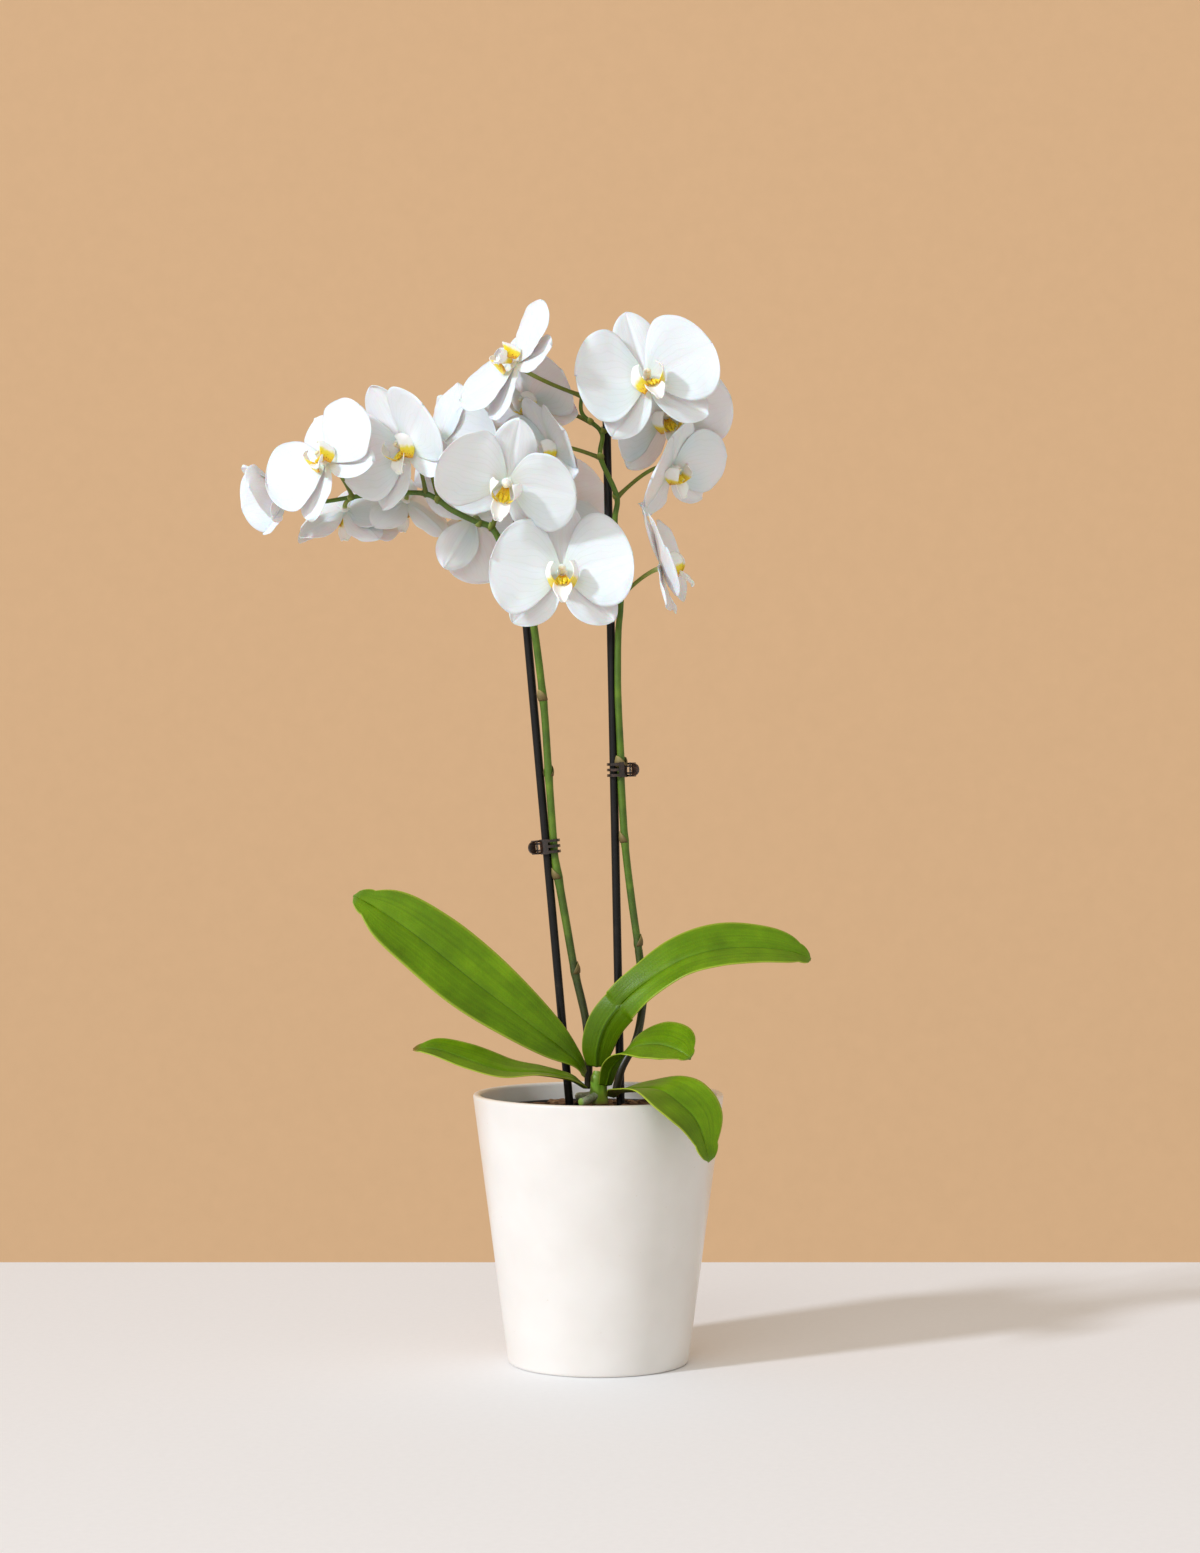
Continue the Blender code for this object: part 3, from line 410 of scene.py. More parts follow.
def makeBark():
    d = barkDesign
    rand = random.Random(d["seed"])
    noise.seed_set(d["seed"])  # noise_vector takes its offsets from the clock until it is given a seed
    low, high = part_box("potting_bark")
    radius = (high.x - low.x) / 2
    edge = rimLevel - d["bedDrop"]
    mound = high.z - edge - d["chipRise"]
    body = newBody()
    profile = [(poleGap, low.z), (radius - 0.017, low.z), (radius - 0.0004, edge)]
    profile += [(radius * (1 - k / 12), edge + mound * (1 - (1 - k / 12) ** 2)) for k in range(1, 12)]
    profile += [(poleGap, edge + mound)]
    rings = turnedRings(profile, 72)
    for ring in rings[2:]:
        for k, (point, uv) in enumerate(ring):
            bump = noise.noise(point * 140) * 0.0012
            ring[k] = (point + Vector((0, 0, bump)), (0.15, uv[1]))
    addRings(body, rings)
    stakes = []
    for node in ("stake_left", "stake_right"):
        foot, top = leaningLine(node)
        stakes.append(foot + (top - foot) * ((edge + mound - foot.z) / (top.z - foot.z)))
    for n in range(d["chips"] + d["crumbs"]):
        crumb = n >= d["chips"]
        length = rand.uniform(*d["length"]) * (0.38 if crumb else 1.0)
        deep = rand.uniform(*d["thickness"]) * (0.6 if crumb else 1.0)
        wide = length * rand.uniform(0.5, 0.85)
        for attempt in range(40):
            away = math.sqrt(rand.uniform(0.0, 1.0)) * (radius - 0.42 * length - 0.001)
            angle = rand.uniform(0, 2 * math.pi)
            spot = Vector((away * math.cos(angle), away * math.sin(angle), 0.0))
            clear = min((spot - Vector((s.x, s.y, 0))).length for s in stakes)
            if clear > d["keepClear"] + 0.42 * length and away > 0.008 + 0.4 * length:
                break
        else:
            continue
        spot.z = edge + mound * (1 - (away / radius) ** 2) + rand.uniform(-0.6, 1.3) * mm
        lean = math.radians(rand.uniform(-d["tilt"], d["tilt"]))
        turn = (Matrix.Translation(spot) @ Matrix.Rotation(rand.uniform(0, 6.28), 4, "Z")
                @ Matrix.Rotation(lean, 4, "X") @ Matrix.Rotation(0.6 * lean, 4, "Y"))
        corners = rand.randint(6, 9)
        shape = [rand.uniform(0.72, 1.12) for k in range(corners)]
        tone = rand.random()
        flake = []
        for level, grow in d["flake"]:
            ring = []
            for k in range(corners * 3):
                a = 2 * math.pi * k / (corners * 3)
                part = k / 3
                here, ahead = shape[int(part) % corners], shape[(int(part) + 1) % corners]
                near = here * (1 - part % 1) + ahead * (part % 1)
                spread = 0.5 * grow * near
                p = Vector((length * spread * math.cos(a), wide * spread * math.sin(a), deep * level))
                p += noise.noise_vector(p * 420 + spot * 97) * 0.0007
                ring.append((turn @ p, (tone, 0.5 + level)))
            flake.append(ring)
        addRings(body, flake)
    bark = finishBody("barkChips", body, [compostedPineBark()], sharp=38)
    settle(bark, "root", "pine_bark", "potting_bark")


makePot()
makeGrowerPot()
makeBark()
print("pot, grower's pot and bark made")


# stakes: round steel wire dipped in black plastic, cropped square at the top

stakeDesign = {
    "diameter": 5.0 * mm,
    "chamfer": 0.35 * mm,
    "sides": 28,
}


def dippedWire():
    # the dip coat is thin and slightly lumpy, so its highlight wavers along the length
    material, tree, shader = newMaterial("plastic_dipped_steel_wire", IOR=1.45, Specular_IOR_Level=0.35)
    place = addNode(tree, "TexCoord").outputs["Object"]
    drawn = addNode(tree, "Mapping", {"Vector": place, "Scale": (1.0, 1.0, 0.12)})
    streak = addNode(tree, "TexNoise", {"Vector": drawn, "Scale": 1 / 0.0012, "Detail": 3.0})
    scuff = addNode(tree, "TexNoise", {"Vector": place, "Scale": 1 / 0.007, "Detail": 6.0})
    tone = addNode(tree, "ValToRGB", {"Fac": scuff},
                   stops=[(0.45, "#0A0908"), (0.7, "#15120F"), (0.86, "#332C25")])
    fillSockets(tree, shader, {"Base Color": tone})
    addWear(tree, shader, streak, 0.3, 0.5)
    addBump(tree, shader, streak, 0.00015, 0.6)
    return material


def makeStakes():
    d = stakeDesign
    coat = dippedWire()
    for side in ("left", "right"):
        foot, top = leaningLine("stake_" + side)
        along = (top - foot).normalized()
        line = [foot + (top - foot) * k / 60 for k in range(60)] + [top - along * d["chamfer"], top, top]
        radii = [d["diameter"] / 2] * 61 + [d["diameter"] / 2 - d["chamfer"], 0.02 * mm]
        body = newBody()
        addRings(body, tubeRings(line, radii, d["sides"]))
        stake = finishBody("stakeWire_" + side, body, [coat], sharp=35)
        settle(stake, "root", "dark_stake_coating", "stake_" + side)


# crown: the short green stem where the leaf bases clasp each other, and thick roots on the bark

crownDesign = {
    "sheaths": 4,
    "roots": ((-122.0, 21.0 * mm), (82.0, 26.0 * mm), (124.0, 22.0 * mm)),
    "rootDiameter": 5.0 * mm,
}


def clasped():
    # leaf bases: waxy yellow green, with fine upright fibres and a dry straw edge
    material, tree, shader = newMaterial("waxy_leaf_base", IOR=1.42,
                                         Subsurface_Weight=0.15, Subsurface_Scale=0.003)
    place, unwrapped, across, upward = surfacePlaces(tree)
    fibre = addNode(tree, "Mapping", {"Vector": place, "Scale": (1.0, 1.0, 0.15)})
    lines = addNode(tree, "TexNoise", {"Vector": fibre, "Scale": 1 / 0.0009, "Detail": 3.0})
    tone = addNode(tree, "ValToRGB", {"Fac": upward},
                   stops=[(0.0, "#7A6B2E"), (0.15, "#8AA02C"), (0.7, "#6E9A1E"), (0.97, "#7F9A30")])
    addGrain(tree, shader, tone, lines, (0.0, 1.0), 0.72, 1.2)
    fillSockets(tree, shader, {"Roughness": 0.42})
    addBump(tree, shader, lines, 0.0002, 0.5)
    return material


def velamen():
    # root skin: a spongy silver-grey layer over green, wrinkled round the root, with a fresh green tip
    material, tree, shader = newMaterial("velamen_root_skin", IOR=1.4,
                                         Subsurface_Weight=0.1, Subsurface_Scale=0.002)
    place, unwrapped, across, upward = surfacePlaces(tree)
    mottle = addNode(tree, "TexNoise", {"Vector": place, "Scale": 1 / 0.0018, "Detail": 6.0, "Roughness": 0.65})
    skin = addNode(tree, "ValToRGB", {"Fac": mottle},
                   stops=[(0.35, "#7D8A63"), (0.55, "#A9AE92"), (0.75, "#C4C2AC")])
    tip = addNode(tree, "MapRange", {"Value": upward, 1: 0.82, 2: 0.97})
    mixed = addNode(tree, "Mix", {0: tip, 6: skin, 7: "#7FA03E"}, data_type="RGBA")
    fillSockets(tree, shader, {"Base Color": mixed, "Roughness": 0.62})
    addBump(tree, shader, mottle, 0.0004, 0.6)
    return material


def makeCrown():
    d = crownDesign
    low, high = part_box("crown")
    base, tall = low.z, high.z - low.z
    body = newBody()
    for n in range(d["sheaths"]):
        # each sheath is a tapering cup that opens on the side its leaf grows from
        facing = math.radians(200 if n % 2 else 20) + 0.25 * n
        foot = 6.2 - 0.5 * n
        rings = []
        for j in range(13):
            t = j / 12
            ring = []
            for k in range(36):
                a = 2 * math.pi * k / 36
                lean = 0.5 + 0.5 * math.cos(a - facing)
                z = base + tall * t * (0.66 + 0.06 * n + 0.16 * lean)
                r = (foot * (1 - 0.3 * t) + 0.7 * lean * t * t) * mm * (1.0 if t < 0.99 else 0.86)
                squash = 0.82 + 0.18 * abs(math.cos(a - facing))
                ring.append((Vector((r * squash * math.cos(a), r * squash * math.sin(a), z)), (k / 36, t)))
            rings.append(ring)
        addRings(body, rings)
    half = d["rootDiameter"] / 2
    for azimuth, length in d["roots"]:
        angle = math.radians(azimuth)
        outward = Vector((math.cos(angle), math.sin(angle), 0))
        sideways = Vector((-outward.y, outward.x, 0))
        level = base + half + 0.3 * mm
        knots = [Vector((0, 0, level + half)), outward * 0.45 * length + Vector((0, 0, level + 0.4 * half)),
                 outward * 0.8 * length + sideways * 0.9 * mm + Vector((0, 0, level)),
                 outward * length + Vector((0, 0, level - 0.3 * mm))]
        line = smoothLine(knots, 40)
        radii = []
        for k, p in enumerate(line):
            blunt = math.sqrt(max(0.02, 1 - max(0.0, (k - 34) / 5.2) ** 2))
            radii.append(half * (1 + 0.1 * noise.noise(p * 300)) * blunt)
        addRings(body, tubeRings(line, radii, 20), slot=1)
    crown = finishBody("crownSheaths", body, [clasped(), velamen()], sharp=50)
    settle(crown, "root", "crown_green", "crown")


# leaves: thick and leathery, folded along the midrib

leafDesign = {
    "thickness": 1.7 * mm,
    "fold": 0.2,           # rise of each half, as a share of its width
    "tipRound": 0.06,      # share of the length over which the tip rounds off
    "midribDepth": 0.75 * mm,
    "waves": 0.9 * mm,     # how far the margins wander
    "rows": 90,
    "across": 29,
}

# each leaf from its foot to its tip: middle (mm from the rim's centre), way to its far edge, half width (mm)
leafLines = {
    "upper_left": [
        ((-8.5, -3.0, 11.0), (0.1, 1.0, 0.3), 4.5), ((-13.5, -5.0, 19.5), (0.3, 0.8, 0.5), 6.5),
        ((-27.0, -8.0, 31.0), (0.5, 0.5, 0.7), 12.0), ((-50.0, -12.0, 49.0), (0.5, 0.45, 0.75), 18.0),
        ((-76.0, -14.0, 69.0), (0.5, 0.45, 0.75), 22.0), ((-102.0, -14.0, 90.0), (0.5, 0.45, 0.75), 21.5),
        ((-127.0, -13.0, 108.0), (0.5, 0.45, 0.75), 16.5), ((-146.0, -12.0, 119.0), (0.5, 0.45, 0.75), 1.2)],
    "lower_left": [
        ((-8.0, -9.5, 4.5), (-0.6, 0.6, 0.4), 3.5), ((-17.0, -14.0, 10.0), (0.0, 0.95, 0.15), 6.5),
        ((-34.0, -19.0, 13.5), (0.1, 0.95, 0.12), 12.0), ((-56.0, -22.0, 15.0), (0.1, 0.9, 0.28), 15.0),
        ((-78.0, -23.0, 22.0), (0.0, 0.85, 0.5), 13.0), ((-97.0, -22.0, 28.0), (0.0, 0.85, 0.5), 9.0),
        ((-110.0, -20.0, 28.0), (0.0, 0.9, 0.4), 1.2)],
    "upper_right": [
        ((-1.0, -1.0, 16.0), (1.0, -0.1, 0.0), 6.0), ((-0.5, -4.0, 27.0), (1.0, 0.0, -0.1), 9.5),
        ((4.0, -8.0, 41.0), (0.95, -0.1, -0.2), 11.0), ((14.0, -13.0, 54.5), (0.8, -0.35, -0.45), 11.5),
        ((28.0, -16.0, 67.0), (0.55, -0.6, -0.55), 13.0), ((49.0, -16.0, 80.5), (0.2, -0.75, -0.6), 17.0),
        ((72.0, -14.0, 87.0), (0.0, -0.8, -0.6), 19.5), ((95.0, -12.0, 88.0), (0.0, -0.8, -0.6), 17.5),
        ((114.0, -10.0, 85.5), (0.0, -0.8, -0.6), 13.0), ((127.0, -8.0, 80.5), (0.0, -0.8, -0.6), 1.2)],
    "middle_right": [
        ((4.5, -9.0, 5.5), (0.9, 0.5, 0.0), 4.5), ((8.5, -13.5, 18.0), (0.8, 0.6, 0.1), 7.0),
        ((20.0, -20.0, 28.5), (0.4, 0.8, 0.4), 12.5), ((34.0, -29.0, 31.5), (0.25, 0.8, 0.5), 18.0),
        ((46.0, -37.0, 29.0), (0.3, 0.8, 0.5), 17.0), ((54.0, -42.0, 24.5), (0.35, 0.75, 0.5), 1.5)],
    "front_right": [
        ((9.0, -8.1, -1.0), (0.7, 0.7, 0.0), 4.0), ((13.6, -21.8, 3.5), (0.75, 0.65, 0.1), 8.5),
        ((21.9, -44.8, 6.5), (0.75, 0.62, 0.12), 14.0), ((35.4, -63.9, 8.0), (0.72, 0.65, 0.15), 19.5),
        ((45.9, -73.4, 2.0), (0.66, 0.70, 0.22), 22.5), ((56.7, -79.5, -9.0), (0.66, 0.70, 0.22), 18.0),
        ((63.6, -84.3, -31.0), (0.66, 0.70, 0.22), 1.5)],
}


def fromRim(x, y, z):
    return Vector((x * mm, y * mm, rimLevel + z * mm))


def waxyLeaf(name, tipColour, tipStart):
    # orchid leaf: leathery blade under clear wax, so a deep green with a broad soft sheen,
    # a painted shade darkening the midrib groove and the base, faint parallel veins and a thin pale margin
    material, tree, shader = newMaterial(
        name, IOR=1.42, Specular_IOR_Level=0.3, Coat_Weight=0.02, Coat_Roughness=0.25,
        Subsurface_Weight=0.1, Subsurface_Scale=0.003)
    place, unwrapped, across, upward = surfacePlaces(tree)
    side = addNode(tree, "Math", {0: across, 1: 0.5}, operation="SUBTRACT")
    off = addNode(tree, "Math", {0: side}, operation="ABSOLUTE")
    broad = addNode(tree, "TexNoise", {"Vector": place, "Scale": 1 / 0.022, "Detail": 4.0})
    blade = addNode(tree, "ValToRGB", {"Fac": broad},
                    stops=[(0.3, "#527200"), (0.5, "#5E8200"), (0.72, "#6F9404")])
    # veins lie 1.5 mm apart; the blade is about 40 mm across
    veinUv = addNode(tree, "Mapping", {"Vector": unwrapped, "Scale": (26.0, 0.8, 1.0)})
    veins = addNode(tree, "TexNoise", {"Vector": veinUv, "Scale": 1.0, "Detail": 2.0})
    shade = addNode(tree, "MapRange", {"Value": veins, 1: 0.3, 2: 0.7, 3: 0.86, 4: 1.12})
    veined = addNode(tree, "VectorMath", {0: blade, "Scale": shade}, operation="SCALE")
    # painted shade: the colour is darkened toward dark green along the midrib groove
    midribShade = addNode(tree, "MapRange", {"Value": off, 1: 0.0, 2: 0.035, 3: 0.75, 4: 0.0})
    midribShaded = addNode(tree, "Mix", {0: midribShade, 6: veined, 7: "#34520A"}, data_type="RGBA")
    rim = addNode(tree, "MapRange", {"Value": off, 1: 0.468, 2: 0.497, 3: 0.0, 4: 0.8})
    edged = addNode(tree, "Mix", {0: rim, 6: midribShaded, 7: "#A9B83C"}, data_type="RGBA")
    tip = addNode(tree, "MapRange", {"Value": upward, 1: tipStart, 2: 1.0, 4: 0.85})
    ended = addNode(tree, "Mix", {0: tip, 6: edged, 7: tipColour}, data_type="RGBA")
    # painted shade: the blade's colour darkens toward the base, down to 0.55 at the foot, where it is folded,
    # clasps the crown and lies in shade
    deep = addNode(tree, "MapRange", {"Value": upward, 1: 0.0, 2: 0.42, 3: 0.55, 4: 1.0})
    baseShaded = addNode(tree, "VectorMath", {0: ended, "Scale": deep}, operation="SCALE")
    fillSockets(tree, shader, {"Base Color": baseShaded})
    # the skin's cells are a few hundredths of a millimetre, drawn at 1 mm so that the sheen breaks up
    cells = addNode(tree, "TexVoronoi", {"Vector": place, "Scale": 1 / 0.0011})
    addWear(tree, shader, broad, 0.34, 0.5)
    relief = addNode(tree, "Math", {0: veins, 1: 2.2, 2: cells}, operation="MULTIPLY_ADD")
    addBump(tree, shader, relief, 0.00012, 0.7)
    return material


def leafRows(stations, seed):
    d = leafDesign
    middles = smoothLine([fromRim(*s[0]) for s in stations], d["rows"])
    sides = smoothLine([Vector(s[1]) for s in stations], d["rows"])
    halves = smoothLine([Vector((s[2] * mm, 0, 0)) for s in stations], d["rows"])
    shoulder = halves[int((1 - d["tipRound"]) * (d["rows"] - 1))].x
    rows = []
    for r, middle in enumerate(middles):
        along = (middles[min(r + 1, d["rows"] - 1)] - middles[max(r - 1, 0)]).normalized()
        side = (sides[r] - along * sides[r].dot(along)).normalized()
        face = side.cross(along)
        if face.z < 0:
            face.negate()
        t = r / (d["rows"] - 1)
        left = min(1.0, (1 - t) / d["tipRound"])
        half = halves[r].x
        if left < 1:
            half = shoulder * math.sqrt(max(0.001, 1 - (1 - left) ** 2)) * (1 - 0.22 * (1 - left))
        row = []
        for k in range(d["across"]):
            x = -1 + 2 * k / (d["across"] - 1)
            s = math.copysign(abs(x) ** 1.25, x)
            place = Vector((3.2 * t, 1.5 * math.copysign(1, s), seed))
            wander = noise.noise(place) * d["waves"] * abs(s) ** 3
            groove = d["midribDepth"] * math.exp(-(s / 0.07) ** 2) * min(1.0, half / (6 * mm))
            lift = half * (d["fold"] * (s * s * 0.45 + abs(s) * 0.55)) - groove
            lift += wander * min(1.0, half / (8 * mm))
            row.append(middle + side * (half * s) + face * lift)
        rows.append(row)
    return rows


def makeLeaves():
    green = waxyLeaf("waxy_orchid_leaf", "#6A8A2C", 0.97)
    blushed = waxyLeaf("waxy_orchid_leaf_red_tip", "#7A4A2A", 0.93)
    for n, (name, stations) in enumerate(leafLines.items()):
        body = newBody()
        addRings(body, sheetRings(leafRows(stations, 5.3 * n), leafDesign["thickness"], 0.35))
        leaf = finishBody("leafBlade_" + name, body, [blushed if name == "lower_left" else green])
        settle(leaf, "root", "leaf_green", "leaf_" + name)


makeStakes()
makeCrown()
makeLeaves()
print("stakes, crown and leaves made")


# flower spikes: fleshy stems that go dark brown low down, with a dry scale at every joint

stemDesign = {
    "diameter": 4.5 * mm,
    "pedicelDiameter": 2.6 * mm,
    "swelling": 0.16,      # extra thickness at a joint
    "scaleLength": 7.0 * mm,
    "sides": 22,
    "rings": 260,
}

# points of each stem: below the clip in mm from the rim's centre, then in mm from the spray's middle level
sprayLevel = 279.0
stemLines = {
    "left": {
        "foot": [(-6.0, 7.5, 2.0), (-6.0, 7.0, 20.0), (-7.5, 5.5, 43.0), (-14.0, 4.5, 72.0),
                 (-19.0, 4.5, 100.0)],
        "clipLevel": 148.0,
        "clipSide": -20.0,
        "spray": [(-30, 3, -86), (-33, 2, -44), (-39.5, -1, 6), (-45, -1, 24), (-57, -4, 48), (-64, -4, 60),
                  (-74, -4, 64), (-88, 0, 71), (-104, 3, 81), (-131, 4, 81), (-148, 3, 79), (-166, 2, 76),
                  (-187, 1, 74)],
        "joints": [72, 130, 192, 237],  # levels of the dry scales above the rim, in mm
    },
    "right": {
        "foot": [(9.9, -1.0, -2.0), (14.0, -2.5, 15.0), (23.0, -1.0, 33.0), (27.0, 1.0, 58.0),
                 (25.5, 1.0, 75.0), (23.5, 0.5, 91.0), (19.7, 0.5, 118.0), (16.0, 1.0, 150.0)],
        "clipLevel": 194.0,
        "clipSide": -30.0,
        "spray": [(11.8, 1, -38), (12.0, 1, -4), (13.3, 1, 19), (10, -1, 62), (11, -2, 79), (1.4, -3, 102),
                  (2, -3, 117), (-9.5, -6, 128), (-10, -20, 138)],
        "joints": [90, 152, 206, 275],
    },
}

# each bloom: where its pedicel leaves the stem (mm in the spray), its yaw, pitch and roll, form and size
bloomPlan = {
    "left_1": ((-45, -1, 24), (0, 0, 2), "open", 1),
    "left_2": ((-64, -4, 60), (-12, -38, -18), "open", 0.98),
    "left_3": ((-57, -4, 48), (176, -4, -10), "cupped", 0.85),
    "left_4": ((-70, -4, 63), (195, -11, 83), "open", 0.9),
    "left_5": ((-96, 1.5, 76), (130, 0, 13), "cupped", 0.9),
    "left_6": ((-104, 3, 81), (-33, -6, 26), "cupped", 0.95),
    "left_7": ((-118, 4, 81.5), (208, -44, 6), "cupped", 0.8),
    "left_8": ((-148, 3, 79), (-39, 22, 40), "open", 0.9),
    "left_9": ((-140, 3.5, 80), (171, -53, 0), "cupped", 0.8),
    "left_10": ((-186, 1, 74), (-73, -16, 14), "half_open", 0.68),
    "right_1": ((13.3, 1, 19), (82, 17, 0), "open", 0.92),
    "right_2": ((11, -2, 79), (48, -28, 18), "cupped", 0.8),
    "right_3": ((1.4, -3, 102), (-45, -16, 10), "cupped", 0.75),
    "right_4": ((2, -3, 117), (22, -21, 14), "cupped", 0.95),
    "right_5": ((-4, -4.4, 122.7), (-22, -17, 24), "open", 0.8),
    "right_6": ((-10, -19, 137), (8, 14, 15), "open", 1),
    "right_7": ((-10, -19.5, 137.5), (-62, 30, 56), "open", 0.92),
}


def inSpray(x, y, z):
    return fromRim(x, y, sprayLevel + z)


def fleshyStem():
    # flower stem: waxy olive green with fine lengthwise fibres, mixed into dark brown toward the bottom
    material, tree, shader = newMaterial("fleshy_flower_stem", IOR=1.43, Coat_Weight=0.12, Coat_Roughness=0.35,
                                         Subsurface_Weight=0.1, Subsurface_Scale=0.002)
    place = addNode(tree, "TexCoord").outputs["Object"]
    height = addNode(tree, "SeparateXYZ", {"Vector": place})
    blotch = addNode(tree, "TexNoise", {"Vector": place, "Scale": 1 / 0.012, "Detail": 5.0})
    fibre = addNode(tree, "Mapping", {"Vector": place, "Scale": (1.0, 1.0, 0.08)})
    lines = addNode(tree, "TexNoise", {"Vector": fibre, "Scale": 1 / 0.0009, "Detail": 3.0})
    green = addNode(tree, "ValToRGB", {"Fac": blotch},
                    stops=[(0.3, "#3F5A0E"), (0.55, "#527012"), (0.8, "#6C8A1E")])
    # by height: almost wholly dark brown up to about 55 mm above the rim, plain green from about 160 mm
    wander = addNode(tree, "Math", {0: blotch, 1: 0.05, 2: height.outputs["Z"]}, operation="MULTIPLY_ADD")
    darkerBelow = addNode(tree, "MapRange", {"Value": wander, 1: rimLevel + 0.055, 2: rimLevel + 0.16, 3: 0.96, 4: 0.0})
    darkenedBelow = addNode(tree, "Mix", {0: darkerBelow, 6: green, 7: "#2A2015"}, data_type="RGBA")
    addGrain(tree, shader, darkenedBelow, lines, (0.0, 1.0), 0.75, 1.2)
    fillSockets(tree, shader, {"Roughness": 0.4})
    addBump(tree, shader, lines, 0.0002, 0.5)
    return material


def freshPedicel():
    # flower stalk: the same skin, younger, paling to white green where it meets the bloom
    material, tree, shader = newMaterial("fresh_flower_stalk", IOR=1.43,
                                         Subsurface_Weight=0.15, Subsurface_Scale=0.002)
    place, unwrapped, across, upward = surfacePlaces(tree)
    mottle = addNode(tree, "TexNoise", {"Vector": place, "Scale": 1 / 0.003, "Detail": 4.0})
    along = addNode(tree, "ValToRGB", {"Fac": upward},
                    stops=[(0.0, "#5C661C"), (0.5, "#77852C"), (0.85, "#98A552"), (1.0, "#BFC98C")])
    addGrain(tree, shader, along, mottle, (0.0, 1.0), 0.78, 1.18)
    fillSockets(tree, shader, {"Roughness": 0.42})
    addBump(tree, shader, mottle, 0.0002, 0.4)
    return material


def dryScale():
    # the scale at a joint dries to thin brown parchment with darker fibres and a bleached edge
    material, tree, shader = newMaterial("dry_stem_scale", IOR=1.4)
    place, unwrapped, across, upward = surfacePlaces(tree)
    fibre = addNode(tree, "Mapping", {"Vector": unwrapped, "Scale": (14.0, 1.2, 1.0)})
    lines = addNode(tree, "TexNoise", {"Vector": fibre, "Scale": 1.0, "Detail": 4.0})
    along = addNode(tree, "ValToRGB", {"Fac": upward},
                    stops=[(0.0, "#5A4A22"), (0.45, "#75653A"), (0.85, "#8E8048"), (1.0, "#A8975C")])
    addGrain(tree, shader, along, lines, (0.0, 1.0), 0.6, 1.25)
    fillSockets(tree, shader, {"Roughness": 0.6})
    addBump(tree, shader, lines, 0.0002, 0.6)
    return material


def addScale(body, line, radii, at, turn, slot, size=1.0):
    # a pointed scale that clasps the stem above ring number at
    span = line[min(at + 1, len(line) - 1)] - line[max(at - 1, 0)]
    along = span.normalized()
    across = along.orthogonal().normalized()
    across = Matrix.Rotation(turn, 3, along) @ across
    over = along.cross(across)
    rows = []
    steps = 9
    for r in range(steps):
        t = r / (steps - 1)
        reach = math.radians(125 * (1 - t) ** 0.55 + 6)
        radius = radii[at] * (1.0 + 0.2 * math.sin(math.pi * min(1.0, 1.2 * t))) + 0.15 * mm
        rise = along * stemDesign["scaleLength"] * size * (t - 0.15)
        row = []
        for k in range(13):
            a = reach * (-1 + 2 * k / 12)
            row.append(line[at] + rise + (across * math.cos(a) + over * math.sin(a)) * radius)
        rows.append(row)
    addRings(body, sheetRings(rows, 0.35 * mm, 0.6), slot=slot)


def facing(yaw, pitch, roll):
    upright = Matrix(((1, 0, 0), (0, 0, -1), (0, 1, 0))).to_4x4()  # the bloom looks at the viewer, top sepal up
    return (Matrix.Rotation(math.radians(yaw), 4, "Z") @ Matrix.Rotation(math.radians(-pitch), 4, "X")
            @ upright @ Matrix.Rotation(math.radians(roll), 4, "Z"))


def stemPath(side):
    plan = stemLines[side]
    foot, top = leaningLine("stake_" + side)
    angle = math.radians(plan["clipSide"])
    reach = 0.5 * (stakeDesign["diameter"] + stemDesign["diameter"]) + 0.3 * mm
    beside = Vector((math.cos(angle), math.sin(angle), 0)) * reach
    held = []
    for dz in (-9.0, 0.0, 9.0):
        level = rimLevel + (plan["clipLevel"] + dz) * mm
        held.append(foot + (top - foot) * ((level - foot.z) / (top.z - foot.z)) + beside)
    points = [fromRim(*p) for p in plan["foot"]] + held + [inSpray(*p) for p in plan["spray"]]
    return smoothLine(points, stemDesign["rings"])


